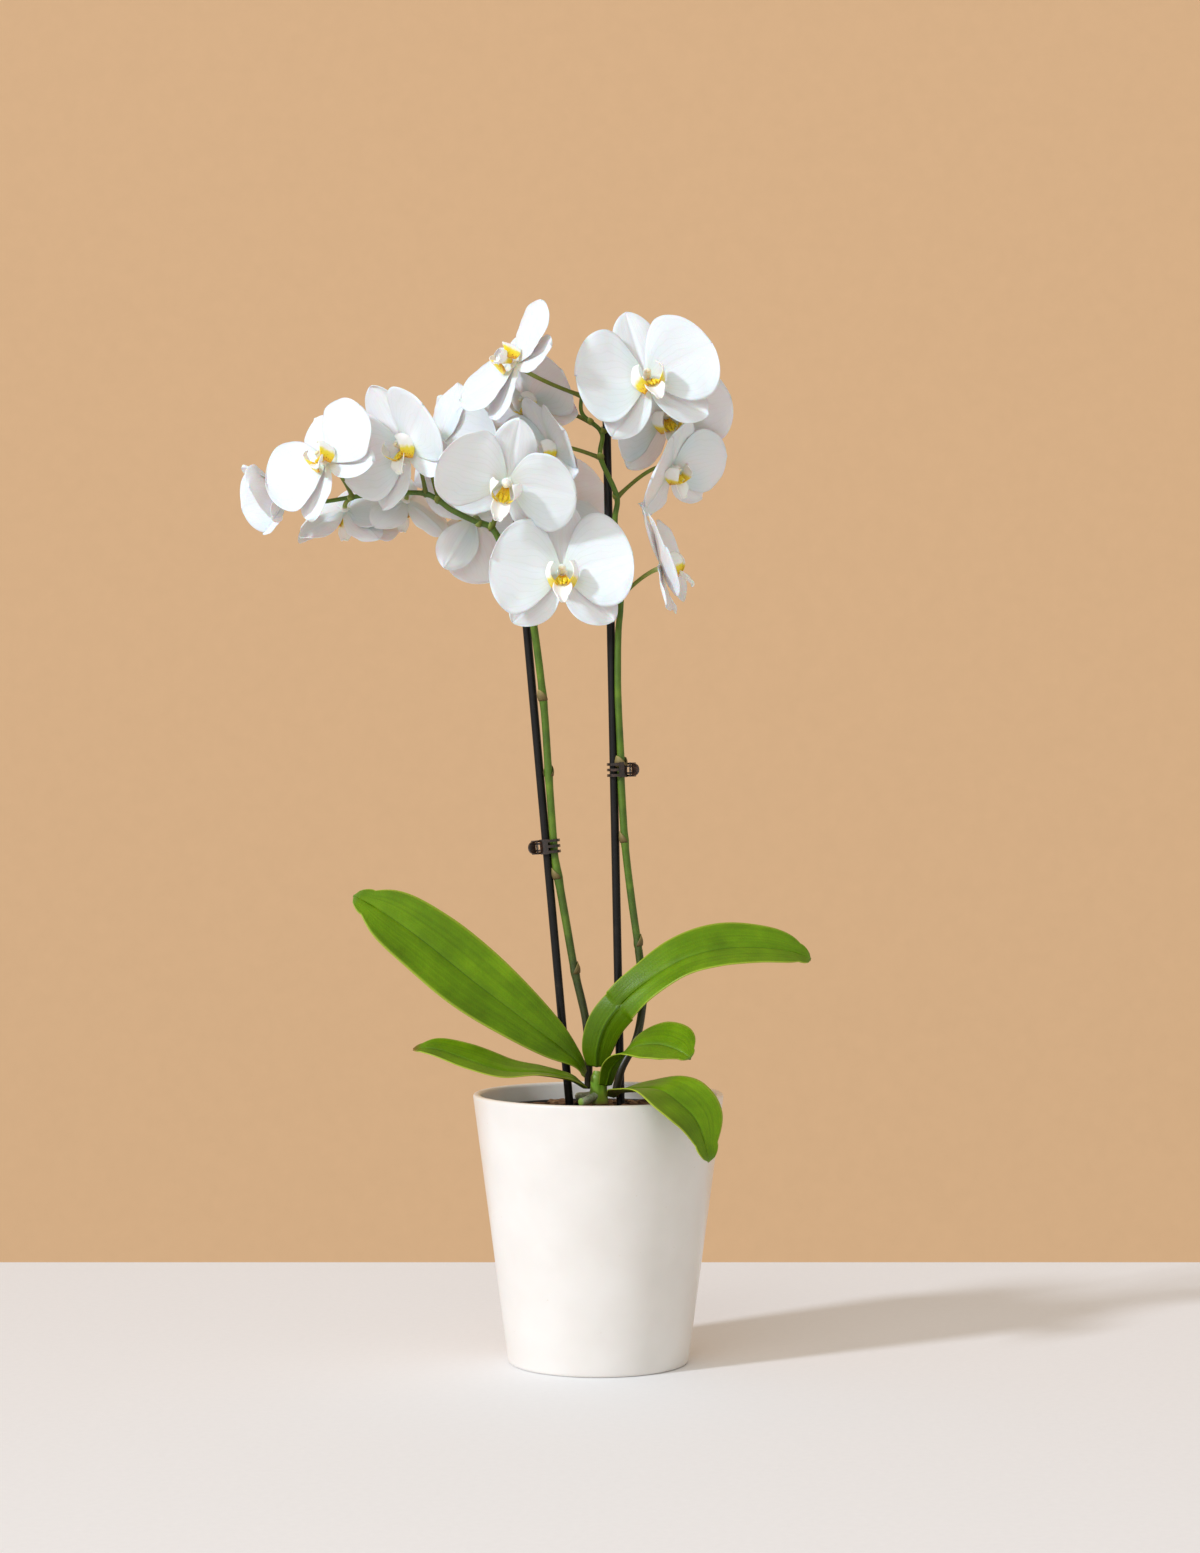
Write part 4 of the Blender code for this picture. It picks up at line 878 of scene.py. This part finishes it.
def makeSpike(side, hubs, materials):
    d = stemDesign
    line = stemPath(side)
    count = d["rings"]
    half = d["diameter"] / 2
    radii = []
    for k in range(count):
        share = k / (count - 1)
        taper = 1.08 if share < 0.25 else 1.0 if share < 0.5 else 1.5 - share
        radii.append(half * taper * (1 + 0.03 * noise.noise(line[k] * 90)))
    joints = []
    for level in stemLines[side]["joints"]:
        joints.append(min(range(count // 2), key=lambda i: abs(line[i].z - rimLevel - level * mm)))
    attached = {}
    for name, (attach, turn, form, size) in bloomPlan.items():
        if name.startswith(side):
            start = inSpray(*attach)
            attached[name] = min(range(count), key=lambda i: (line[i] - start).length)
    for j in joints + sorted(set(attached.values())):
        for i in range(max(0, j - 3), min(count, j + 4)):
            radii[i] *= 1 + d["swelling"] * math.exp(-((i - j) / 1.3) ** 2)
    radii[-1] *= 0.45
    body = newBody()
    jointTurns = (-0.5, 2.3, 0.4, 2.9)  # the scales stand on alternate sides of the stem
    addRings(body, tubeRings(line, radii, d["sides"]))
    for n, j in enumerate(joints):
        addScale(body, line, radii, j, jointTurns[n % 4], 2)
    thin = d["pedicelDiameter"] / 2
    for n, (name, j) in enumerate(attached.items()):
        attach, turn, form, size = bloomPlan[name]
        back = -(facing(*turn).to_3x3() @ Vector((0, 0, 1)))
        start = line[j]
        end = hubs[name] + back * 1.5 * mm * size
        bend = end + back * 0.35 * (end - start).length
        curve, girth = [], []
        for k in range(28):
            t = k / 27
            curve.append(start * (1 - t) ** 2 + bend * 2 * t * (1 - t) + end * t * t)
            girth.append(thin * (0.92 + 0.28 * t ** 4 + 0.5 * math.exp(-k / 1.6)))
        addRings(body, tubeRings(curve, girth, 16), slot=1)
        if j < count - 3:
            addScale(body, line, radii, j, 1.9 * n, 1, 0.55)
    spike = finishBody("flowerSpike_" + side, body, materials)
    settle(spike, "root", "stem_green", "spike_" + side)


# blooms: moth orchids with two broad petals in front of three narrower sepals

bloomDesign = {
    "petalAngles": (12.0, 168.0),
    "petalLength": 42.5,   # all in mm at size 1
    "petalWidth": 57.0,
    "petalWidest": 0.54,
    "sepals": ((90.0, 43.0), (222.0, 40.0), (318.0, 40.0)),
    "sepalWidth": 27.5,
    "sepalWidest": 0.52,
    "hubRadius": 4.2,
    "thickness": 0.55,
    "ruffle": 1.5,         # how far the petal margins wave
    "club": ((0, 0.2, 0.4), (0, 1.6, 3.2), (0, 2.9, 6.0), (0, 3.2, 8.2)),  # middle line of the column
    "rows": 34,
    "across": 31,
    "forms": {             # lift and curl of the petals, then of the sepals, in degrees
        "open": (8, 6, -10, 14),
        "cupped": (22, 6, 4, 14),
        "half_open": (46, 8, 26, 20),
    },
}


def mothPetal(name, whiteColour, veinColour, baseColour):
    # petal: a few layers of clear cells over air, so it glows white when lit through,
    # with a satin sheen, faint radiating veins and a trace of green at its foot
    material, tree, shader = newMaterial(name, IOR=1.38, Subsurface_Weight=0.35, Subsurface_Scale=0.0035,
                                         Sheen_Weight=0.12, Sheen_Roughness=0.4)
    place, unwrapped, across, upward = surfacePlaces(tree)
    sway = addNode(tree, "TexNoise", {"Vector": unwrapped, "Scale": 3.0, "Detail": 2.0})
    fan = addNode(tree, "Math", {0: sway, 1: 0.2, 2: across}, operation="MULTIPLY_ADD")
    spokes = addNode(tree, "Math", {0: fan, 1: 2 * math.pi * 13}, operation="MULTIPLY")
    wave = addNode(tree, "Math", {0: spokes}, operation="SINE")
    line = addNode(tree, "MapRange", {"Value": wave, 1: 0.72, 2: 1.0})
    fade = addNode(tree, "MapRange", {"Value": upward, 1: 0.2, 2: 0.9, 3: 0.3, 4: 0.03})
    vein = addNode(tree, "Math", {0: line, 1: fade}, operation="MULTIPLY")
    cloud = addNode(tree, "TexNoise", {"Vector": place, "Scale": 1 / 0.014, "Detail": 3.0})
    ground = addNode(tree, "Mix", {0: cloud, 6: whiteColour, 7: "#E8E9EB"}, data_type="RGBA")
    veined = addNode(tree, "Mix", {0: vein, 6: ground, 7: veinColour}, data_type="RGBA")
    foot = addNode(tree, "MapRange", {"Value": upward, 1: 0.0, 2: 0.2, 3: 0.45, 4: 0.0})
    tinted = addNode(tree, "Mix", {0: foot, 6: veined, 7: baseColour}, data_type="RGBA")
    fillSockets(tree, shader, {"Base Color": tinted})
    # surface cells are 0.05 mm, drawn at 0.7 mm so that they break up the sheen
    cells = addNode(tree, "TexVoronoi", {"Vector": place, "Scale": 1 / 0.0007})
    relief = addNode(tree, "Math", {0: line, 1: 0.7, 2: cells}, operation="MULTIPLY_ADD")
    addWear(tree, shader, cloud, 0.42, 0.58)
    addBump(tree, shader, relief, 0.00012, 0.3)
    return material


def tepalRows(angle, lift, curl, length, width, widest, rand, petal):
    # one petal or sepal in bloom millimetres, from its foot at the hub to its tip
    d = bloomDesign
    direction = Vector((math.cos(math.radians(angle)), math.sin(math.radians(angle)), 0))
    side = Vector((-direction.y, direction.x, 0))
    face = Vector((0, 0, 1))
    middle = direction * 0.4 * d["hubRadius"]
    seed = rand.uniform(0, 50)
    skew = rand.uniform(-0.05, 0.05)
    bow = rand.uniform(0.02, 0.1) if petal else rand.uniform(0.1, 0.2)
    twist = math.radians(rand.uniform(-5, 5))
    foot, growth, footPower, tipPower = (0.13, 0.87, 0.9, 0.5) if petal else (0.24, 0.76, 1.0, 0.62)
    rows = []
    last = 0.0
    count = d["rows"]
    for r in range(count):
        t = math.sin(0.5 * math.pi * r / (count - 1)) ** 1.15
        tilt = math.radians(lift + curl * t)
        along = direction * math.cos(tilt) + face * math.sin(tilt)
        middle = middle + along * (t - last) * length
        last = t
        if t < widest:
            grow = foot + growth * math.sin(0.5 * math.pi * t / widest) ** footPower
        else:
            x = (t - widest) / (1 - widest)
            grow = max(0.0, 1 - x * x) ** tipPower
        half = max(0.5 * width * grow, 0.012 * width)
        normal = along.cross(side).normalized() * -1
        if normal.z < 0:
            normal.negate()
        turned = side * math.cos(twist * t) + normal * math.sin(twist * t)
        row = []
        for k in range(d["across"]):
            s = -1 + 2 * k / (d["across"] - 1)
            ruffle = noise.noise(Vector((2.6 * t, 1.3 * s, seed))) * d["ruffle"] * 2.2 * abs(s) ** 2
            ruffle *= min(1, 2 * t)
            ruffle += noise.noise(Vector((7.0 * t, 3.0 * s, seed + 9))) * d["ruffle"] * 0.5 * abs(s) ** 4
            dish = noise.noise(Vector((1.2 * t, 0.8 * s, seed + 21))) * 1.8 * t
            keel = (-0.55 if petal else -1.0) * math.exp(-(s / 0.10) ** 2) * min(1.0, 3 * t) * (1 - t) ** 0.4
            if petal:
                backRoll = -2.2 * max(0.0, abs(s) - 0.62) ** 1.5 * (half / 14)
            else:
                backRoll = -1.4 * max(0.0, abs(s) - 0.5) ** 1.5
            swell = half * bow * s * s
            reach = half * s * (1 + skew * s) + 0.05 * half * s * noise.noise(Vector((3 * t, s, seed + 33)))
            row.append(middle + turned * reach + normal * (swell + ruffle + dish + keel + backRoll))
        rows.append(row)
    return [[p * mm for p in row] for row in rows]


def eggRings(centre, radii, tilt, sides=20, steps=12):
    turn = Matrix.Translation(Vector(centre)) @ Matrix.Rotation(math.radians(tilt), 4, "X")
    rings = []
    for j in range(steps + 1):
        a = math.pi * (j / steps - 0.5)
        flat = max(0.03, math.cos(a))
        ring = []
        for k in range(sides):
            b = 2 * math.pi * k / sides
            level = radii[2] * math.sin(a)
            point = Vector((radii[0] * flat * math.cos(b), radii[1] * flat * math.sin(b), level))
            ring.append((turn @ point * mm, (k / sides, j / steps)))
        rings.append(ring)
    return rings


def makeBloom(name, materials):
    d = bloomDesign
    attach, turn, form, size = bloomPlan[name]
    petalLift, petalCurl, sepalLift, sepalCurl = d["forms"][form]
    rand = random.Random("bloom " + name)
    body = newBody()
    for angle, length in d["sepals"]:
        rows = tepalRows(angle + rand.uniform(-3, 3), sepalLift + rand.uniform(-4, 3), sepalCurl, length,
                         d["sepalWidth"], d["sepalWidest"], rand, False)
        addRings(body, sheetRings(rows, d["thickness"] * mm, 0.5))
    for angle in d["petalAngles"]:
        rows = tepalRows(angle + rand.uniform(-2, 2), petalLift + rand.uniform(-2, 3), petalCurl,
                         d["petalLength"], d["petalWidth"], d["petalWidest"], rand, True)
        addRings(body, sheetRings(rows, d["thickness"] * mm, 0.5))
    addRings(body, eggRings((0, 0, 0), (3.6, 3.6, 2.6), 0), slot=1)
    # the column: a waxy white club that bends forward, with the anther cap on its end
    club = smoothLine([Vector(p) * mm for p in d["club"]], 18)
    girth = [(1.9 + 0.55 * math.sin(math.pi * k / 17)) * mm for k in range(18)]
    girth[16] *= 0.72
    girth[17] *= 0.3
    addRings(body, tubeRings(club, girth, 20), slot=1)
    addRings(body, eggRings((0, 2.9, 8.2), (1.75, 1.35, 1.3), -30), slot=2)
    turnBloom = facing(*turn) @ Matrix.Diagonal((size, size, size, 1))
    bloom = finishBody("mothBloom_" + name, body, materials, turnBloom)
    low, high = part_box("bloom_" + name)
    corners = [Vector(v.co) for v in bloom.data.vertices]
    ownMiddle = Vector([(min(c[i] for c in corners) + max(c[i] for c in corners)) / 2 for i in range(3)])
    hub = (low + high) / 2 - ownMiddle
    bloom.data.transform(Matrix.Translation(hub))
    settle(bloom, "root", "petal_white", "bloom_" + name)
    return hub, Matrix.Translation(hub) @ turnBloom


# lip: the orchid's third petal, with two upright side lobes, a fleshy callus, a pointed front lobe and tendrils

lipDesign = {
    "lobeHeight": 15.5,    # mm
    "lobeWidth": 12.5,
    "lobeSpread": 8.6,     # how far each side lobe stands out from the middle
    "frontWidth": 11.5,
    "thickness": 0.7,
    "tendril": 4.2,        # reach of the threads at the tip
    "callus": (((1.5, -4.4, 9.2), (1.35, 1.1, 2.3), 40), ((0.9, -6.2, 11.0), (0.9, 0.9, 1.5), 20)),
}


def paintedLip():
    # lip: waxier than the petals, white with a clear yellow flush at the foot and edge of each lobe
    # and red brown freckles round the callus
    material, tree, shader = newMaterial(
        "waxy_orchid_lip", IOR=1.42, Subsurface_Weight=0.25, Subsurface_Scale=0.002,
        Coat_Weight=0.15, Coat_Roughness=0.25)
    place, unwrapped, across, upward = surfacePlaces(tree)
    edge = addNode(tree, "TexNoise", {"Vector": place, "Scale": 1 / 0.003, "Detail": 3.0})
    wander = addNode(tree, "Math", {0: edge, 1: 0.22, 2: upward}, operation="MULTIPLY_ADD")
    flush = addNode(tree, "ValToRGB", {"Fac": wander},
                    stops=[(0.12, "#E3A52E"), (0.24, "#F4D01C"), (0.42, "#F7E23C"), (0.56, "#FAF8F2")])
    freckle = addNode(tree, "TexVoronoi", {"Vector": place, "Scale": 1 / 0.0014})
    spot = addNode(tree, "MapRange", {"Value": freckle, 1: 0.22, 2: 0.36, 3: 1.0, 4: 0.0})
    near = addNode(tree, "MapRange", {"Value": wander, 1: 0.18, 2: 0.36, 3: 0.85, 4: 0.0})
    both = addNode(tree, "Math", {0: spot, 1: near}, operation="MULTIPLY")
    marked = addNode(tree, "Mix", {0: both, 6: flush, 7: "#A8431C"}, data_type="RGBA")
    fillSockets(tree, shader, {"Base Color": marked})
    addWear(tree, shader, edge, 0.3, 0.45)
    addBump(tree, shader, edge, 0.0003, 0.4)
    return material


def waxyWhite(name, tone, shadow):
    # column and anther cap: smooth waxy tissue, creamy where it is thick
    material, tree, shader = newMaterial(
        name, IOR=1.42, Subsurface_Weight=0.3, Subsurface_Scale=0.002, Roughness=0.35, Coat_Weight=0.1)
    place = addNode(tree, "TexCoord").outputs["Object"]
    cloud = addNode(tree, "TexNoise", {"Vector": place, "Scale": 1 / 0.002, "Detail": 3.0})
    mix = addNode(tree, "Mix", {0: cloud, 6: tone, 7: shadow}, data_type="RGBA")
    fillSockets(tree, shader, {"Base Color": mix})
    addBump(tree, shader, cloud, 0.0002, 0.3)
    return material


def makeLip(name, place, material):
    d = lipDesign
    rand = random.Random("lip " + name)
    body = newBody()
    lobeRows, lobeAcross, frontRows, frontAcross = 17, 17, 24, 17
    # side lobes: rounded shells that rise on both sides of the column and lean in over it at the top
    for hand in (-1, 1):
        lean = rand.uniform(-0.5, 0.7)
        rows = []
        for r in range(lobeRows):
            t = r / (lobeRows - 1)
            crown = math.sqrt(max(0.02, 1 - max(0.0, (t - 0.5) / 0.51) ** 2))
            width = 0.5 * d["lobeWidth"] * (0.5 + 0.5 * math.sin(0.5 * math.pi * min(1.0, t / 0.5))) * crown
            out = 1.6 + d["lobeSpread"] * math.sin(0.70 * math.pi * (0.12 + 0.88 * t)) - 1.2 * t + lean * t
            up = -8.6 + d["lobeHeight"] * t
            row = []
            for k in range(lobeAcross):
                s = -1 + 2 * k / (lobeAcross - 1)
                cup = 3.4 * (0.5 + 0.5 * s) ** 2 * (0.35 + 0.65 * t)  # the front edge turns in
                flare = 1.1 * max(0.0, -s) * (1 - t)
                frill = 0.35 * noise.noise(Vector((4 * t, 2 * s, 7.0 * hand + lean)))
                row.append(Vector((hand * (out - cup + flare + frill), up + 1.4 * s * (1 - t),
                                   8.2 + 1.6 * t + width * s)) * mm)
            rows.append(row)
        addRings(body, sheetRings(rows, d["thickness"] * mm, 0.6))
    # front lobe: a scoop that widens, then narrows to a point and turns up
    spine = smoothLine([Vector(p) for p in ((0, -1.8, 3.0), (0, -4.8, 6.2), (0, -8.2, 9.4), (0, -12.0, 13.0),
                                            (0, -15.6, 15.4), (0, -17.8, 15.6))], frontRows)
    rows = []
    for r, p in enumerate(spine):
        t = r / (frontRows - 1)
        along = (spine[min(r + 1, frontRows - 1)] - spine[max(r - 1, 0)]).normalized()
        rise = along.cross(Vector((1, 0, 0)))
        if rise.y < 0:
            rise.negate()
        if t < 0.58:
            grow = 0.34 + 0.66 * math.sin(0.5 * math.pi * t / 0.58) ** 1.3
        else:
            grow = max(0.06, 1 - ((t - 0.58) / 0.42) ** 1.15)
        half = 0.5 * d["frontWidth"] * grow
        row = []
        for k in range(frontAcross):
            s = -1 + 2 * k / (frontAcross - 1)
            row.append((p + Vector((half * s, 0, 0)) + rise * (half * (0.75 - 0.35 * t) * s * s)) * mm)
        rows.append(row)
    addRings(body, sheetRings(rows, d["thickness"] * 1.2 * mm, 0.5))
    # callus: a forked fleshy bump between the lobes, all in the yellow part of the flush
    for hand in (-1, 1):
        for centre, radii, tilt in d["callus"]:
            bump = eggRings((hand * centre[0], *centre[1:]), radii, tilt, 16, 10)
            addRings(body, [[(p, (u, 0.12 + 0.1 * v)) for p, (u, v) in ring] for ring in bump])
    # tendrils: two white threads from the tip, curling back
    for hand in (-1, 1):
        swing = rand.uniform(0.85, 1.2)
        curve = []
        for k in range(26):
            t = k / 25
            a = 3.4 * t * swing
            curve.append(Vector((hand * (0.5 + d["tendril"] * 0.8 * t + 0.8 * math.sin(a)),
                                 -17.6 + d["tendril"] * 0.55 * (1 - math.cos(a)),
                                 15.4 + d["tendril"] * 0.55 * math.sin(a) - 1.2 * t)) * mm)
        girth = [(0.5 - 0.3 * k / 25) * mm for k in range(26)]
        addRings(body, [[(p, (u, 0.9)) for p, (u, v) in ring] for ring in tubeRings(curve, girth, 10)])
    lip = finishBody("lip_flesh_" + name, body, [material], place)
    settle(lip, "root", "lip_yellow", "lip_" + name)


def makeBlooms():
    white = mothPetal("white_moth_orchid_petal", "#EBECEF", "#DADDD8", "#E0E4CC")
    column = waxyWhite("waxy_white_column", "#FAF7F1", "#EFE9DA")
    anther = waxyWhite("cream_anther_cap", "#F7EFD8", "#EBDDB4")
    lipSkin = paintedLip()
    hubs = {}
    for name in bloomPlan:
        hubs[name], place = makeBloom(name, [white, column, anther])
        makeLip(name, place, lipSkin)
    return hubs


hubs = makeBlooms()
print("blooms made:", len(hubs))
stemMaterials = [fleshyStem(), freshPedicel(), dryScale()]
for side in stemLines:
    makeSpike(side, hubs, stemMaterials)
print("flower spikes made")


# claw clips: their solids stay as they are and take a moulded finish

clipDesign = {
    "edgeRound": 0.18 * mm,
}


def tortoiseStyrene():
    # injection-moulded polystyrene, brown with darker swirls; polished tool, so it glints along the claws
    material, tree, shader = newMaterial("moulded_brown_polystyrene", IOR=1.59,
                                         Coat_Weight=0.3, Coat_Roughness=0.08)
    place = addNode(tree, "TexCoord").outputs["Object"]
    swirl = addNode(tree, "TexNoise", {"Vector": place, "Scale": 1 / 0.003, "Detail": 3.0, "Distortion": 1.5})
    tone = addNode(tree, "ValToRGB", {"Fac": swirl},
                   stops=[(0.35, "#140D09"), (0.6, "#2E1B10"), (0.8, "#5A3720")])
    fillSockets(tree, shader, {"Base Color": tone})
    addWear(tree, shader, swirl, 0.18, 0.34)
    addBump(tree, shader, swirl, 0.0001, 0.3)
    return material


def drawnSpringSteel():
    # drawn steel wire: bright, with fine lengthwise die marks
    material, tree, shader = newMaterial("drawn_spring_steel", Metallic=1.0)
    place = addNode(tree, "TexCoord").outputs["Object"]
    marks = addNode(tree, "TexNoise", {"Vector": place, "Scale": 1 / 0.0008, "Detail": 3.0})
    tone = addNode(tree, "ValToRGB", {"Fac": marks}, stops=[(0.3, "#8E8C88"), (0.7, "#B9B6B0")])
    fillSockets(tree, shader, {"Base Color": tone})
    addWear(tree, shader, marks, 0.22, 0.4)
    return material


def finishClips():
    plastic = tortoiseStyrene()
    steel = drawnSpringSteel()
    for side in ("left", "right"):
        for part in ("back_jaw", "front_jaw", "pin", "spring"):
            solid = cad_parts["clip_" + side + "_" + part]
            material = plastic if part.endswith("jaw") else steel
            solid.data.materials.clear()
            solid.data.materials.append(material)
            if part.endswith("jaw"):
                edge = solid.modifiers.new("edges", "BEVEL")
                edge.width = clipDesign["edgeRound"]
                edge.segments = 2
                edge.limit_method = "ANGLE"


finishClips()
print("clips finished")


# table, wall, light and camera

stageDesign = {
    "tableFarEdge": 0.386,
    "wallDistance": 2.75,
    "tableColour": "#F0F0F0",
    "wallColour": "#E2B88B",
    "keyElevation": 28.0,
    "keySoftness": 6.0,
    "keyStrength": 2.15,
    "skyStrength": 0.52,
    "cameraPlace": (0.001, -1.883, 0.351),
    "lens": 72.7,
}


def paintedBoard(name, colour, grain):
    # emulsion paint rolled on board: matt, with a trace of roller texture
    material, tree, shader = newMaterial(name, Roughness=0.75, IOR=1.45)
    place = addNode(tree, "TexCoord").outputs["Object"]
    fine = addNode(tree, "TexNoise", {"Vector": place, "Scale": 1 / grain, "Detail": 4.0})
    light = tuple(min(1.0, c * 1.03) for c in toLinear(colour)[:3]) + (1.0,)
    dark = tuple(c * 0.97 for c in toLinear(colour)[:3]) + (1.0,)
    tone = addNode(tree, "Mix", {0: fine, 6: dark, 7: light}, data_type="RGBA")
    fillSockets(tree, shader, {"Base Color": tone})
    addBump(tree, shader, fine, 0.0002, 0.2)
    return material


def makeStage():
    d = stageDesign
    body = newBody()
    near, far, edge, deep = -3.2, d["tableFarEdge"], 0.003, 0.03
    profile = [(near, 0.0), (far - edge, 0.0), (far, -edge), (far, -deep), (near, -deep)]
    rings = [[(Vector((x, y, z)), (0, 0)) for y, z in profile] for x in (-4.5, -1.5, 1.5, 4.5)]
    addRings(body, rings)
    table = finishBody("tableTop", body, [paintedBoard("painted_table", d["tableColour"], 0.004)], sharp=30)
    body = newBody()
    rows = []
    for z in (-5.0, -1.0, 2.0, 6.0):
        rows.append([(Vector((x, d["wallDistance"], z)), (0, 0)) for x in (6.0, 2.0, -2.0, -6.0)])
    addRings(body, rows, closed=False, capped=False)
    wall = finishBody("wall", body, [paintedBoard("painted_wall", d["wallColour"], 0.02)])


def makeLight():
    d = stageDesign
    world = bpy.data.worlds.new("studioAir")
    bpy.context.scene.world = world
    world.use_nodes = True
    air = world.node_tree.nodes["Background"]
    air.inputs["Color"].default_value = toLinear("#FEFAF3")
    air.inputs["Strength"].default_value = d["skyStrength"]
    key = bpy.data.objects.new("keyLight", bpy.data.lights.new("keyLight", "SUN"))
    key.data.energy = d["keyStrength"]
    key.data.angle = math.radians(d["keySoftness"])
    key.data.color = toLinear("#EDF3FF")[:3]
    level = math.cos(math.radians(d["keyElevation"]))
    fall = Vector((0.81 * level, 0.585 * level, -math.sin(math.radians(d["keyElevation"]))))
    key.rotation_euler = fall.to_track_quat("-Z", "Y").to_euler()
    bpy.context.collection.objects.link(key)
    fill = bpy.data.objects.new("fillLight", bpy.data.lights.new("fillLight", "AREA"))
    fill.data.energy = 12.0
    fill.data.size = 1.4
    fill.location = (-0.7, -1.9, 1.5)
    fill.rotation_euler = (Vector((0, 0, 0.35)) - fill.location).to_track_quat("-Z", "Y").to_euler()
    bpy.context.collection.objects.link(fill)


def makeCamera():
    d = stageDesign
    camera = bpy.data.objects.new("camera", bpy.data.cameras.new("camera"))
    camera.data.lens = d["lens"]
    camera.data.sensor_width = 36.0
    camera.location = d["cameraPlace"]
    camera.rotation_euler = (math.radians(90), 0, 0)
    bpy.context.collection.objects.link(camera)
    bpy.context.scene.camera = camera
    bpy.context.scene.view_settings.view_transform = "Standard"


makeStage()
makeLight()
makeCamera()
print("stage, light and camera made")
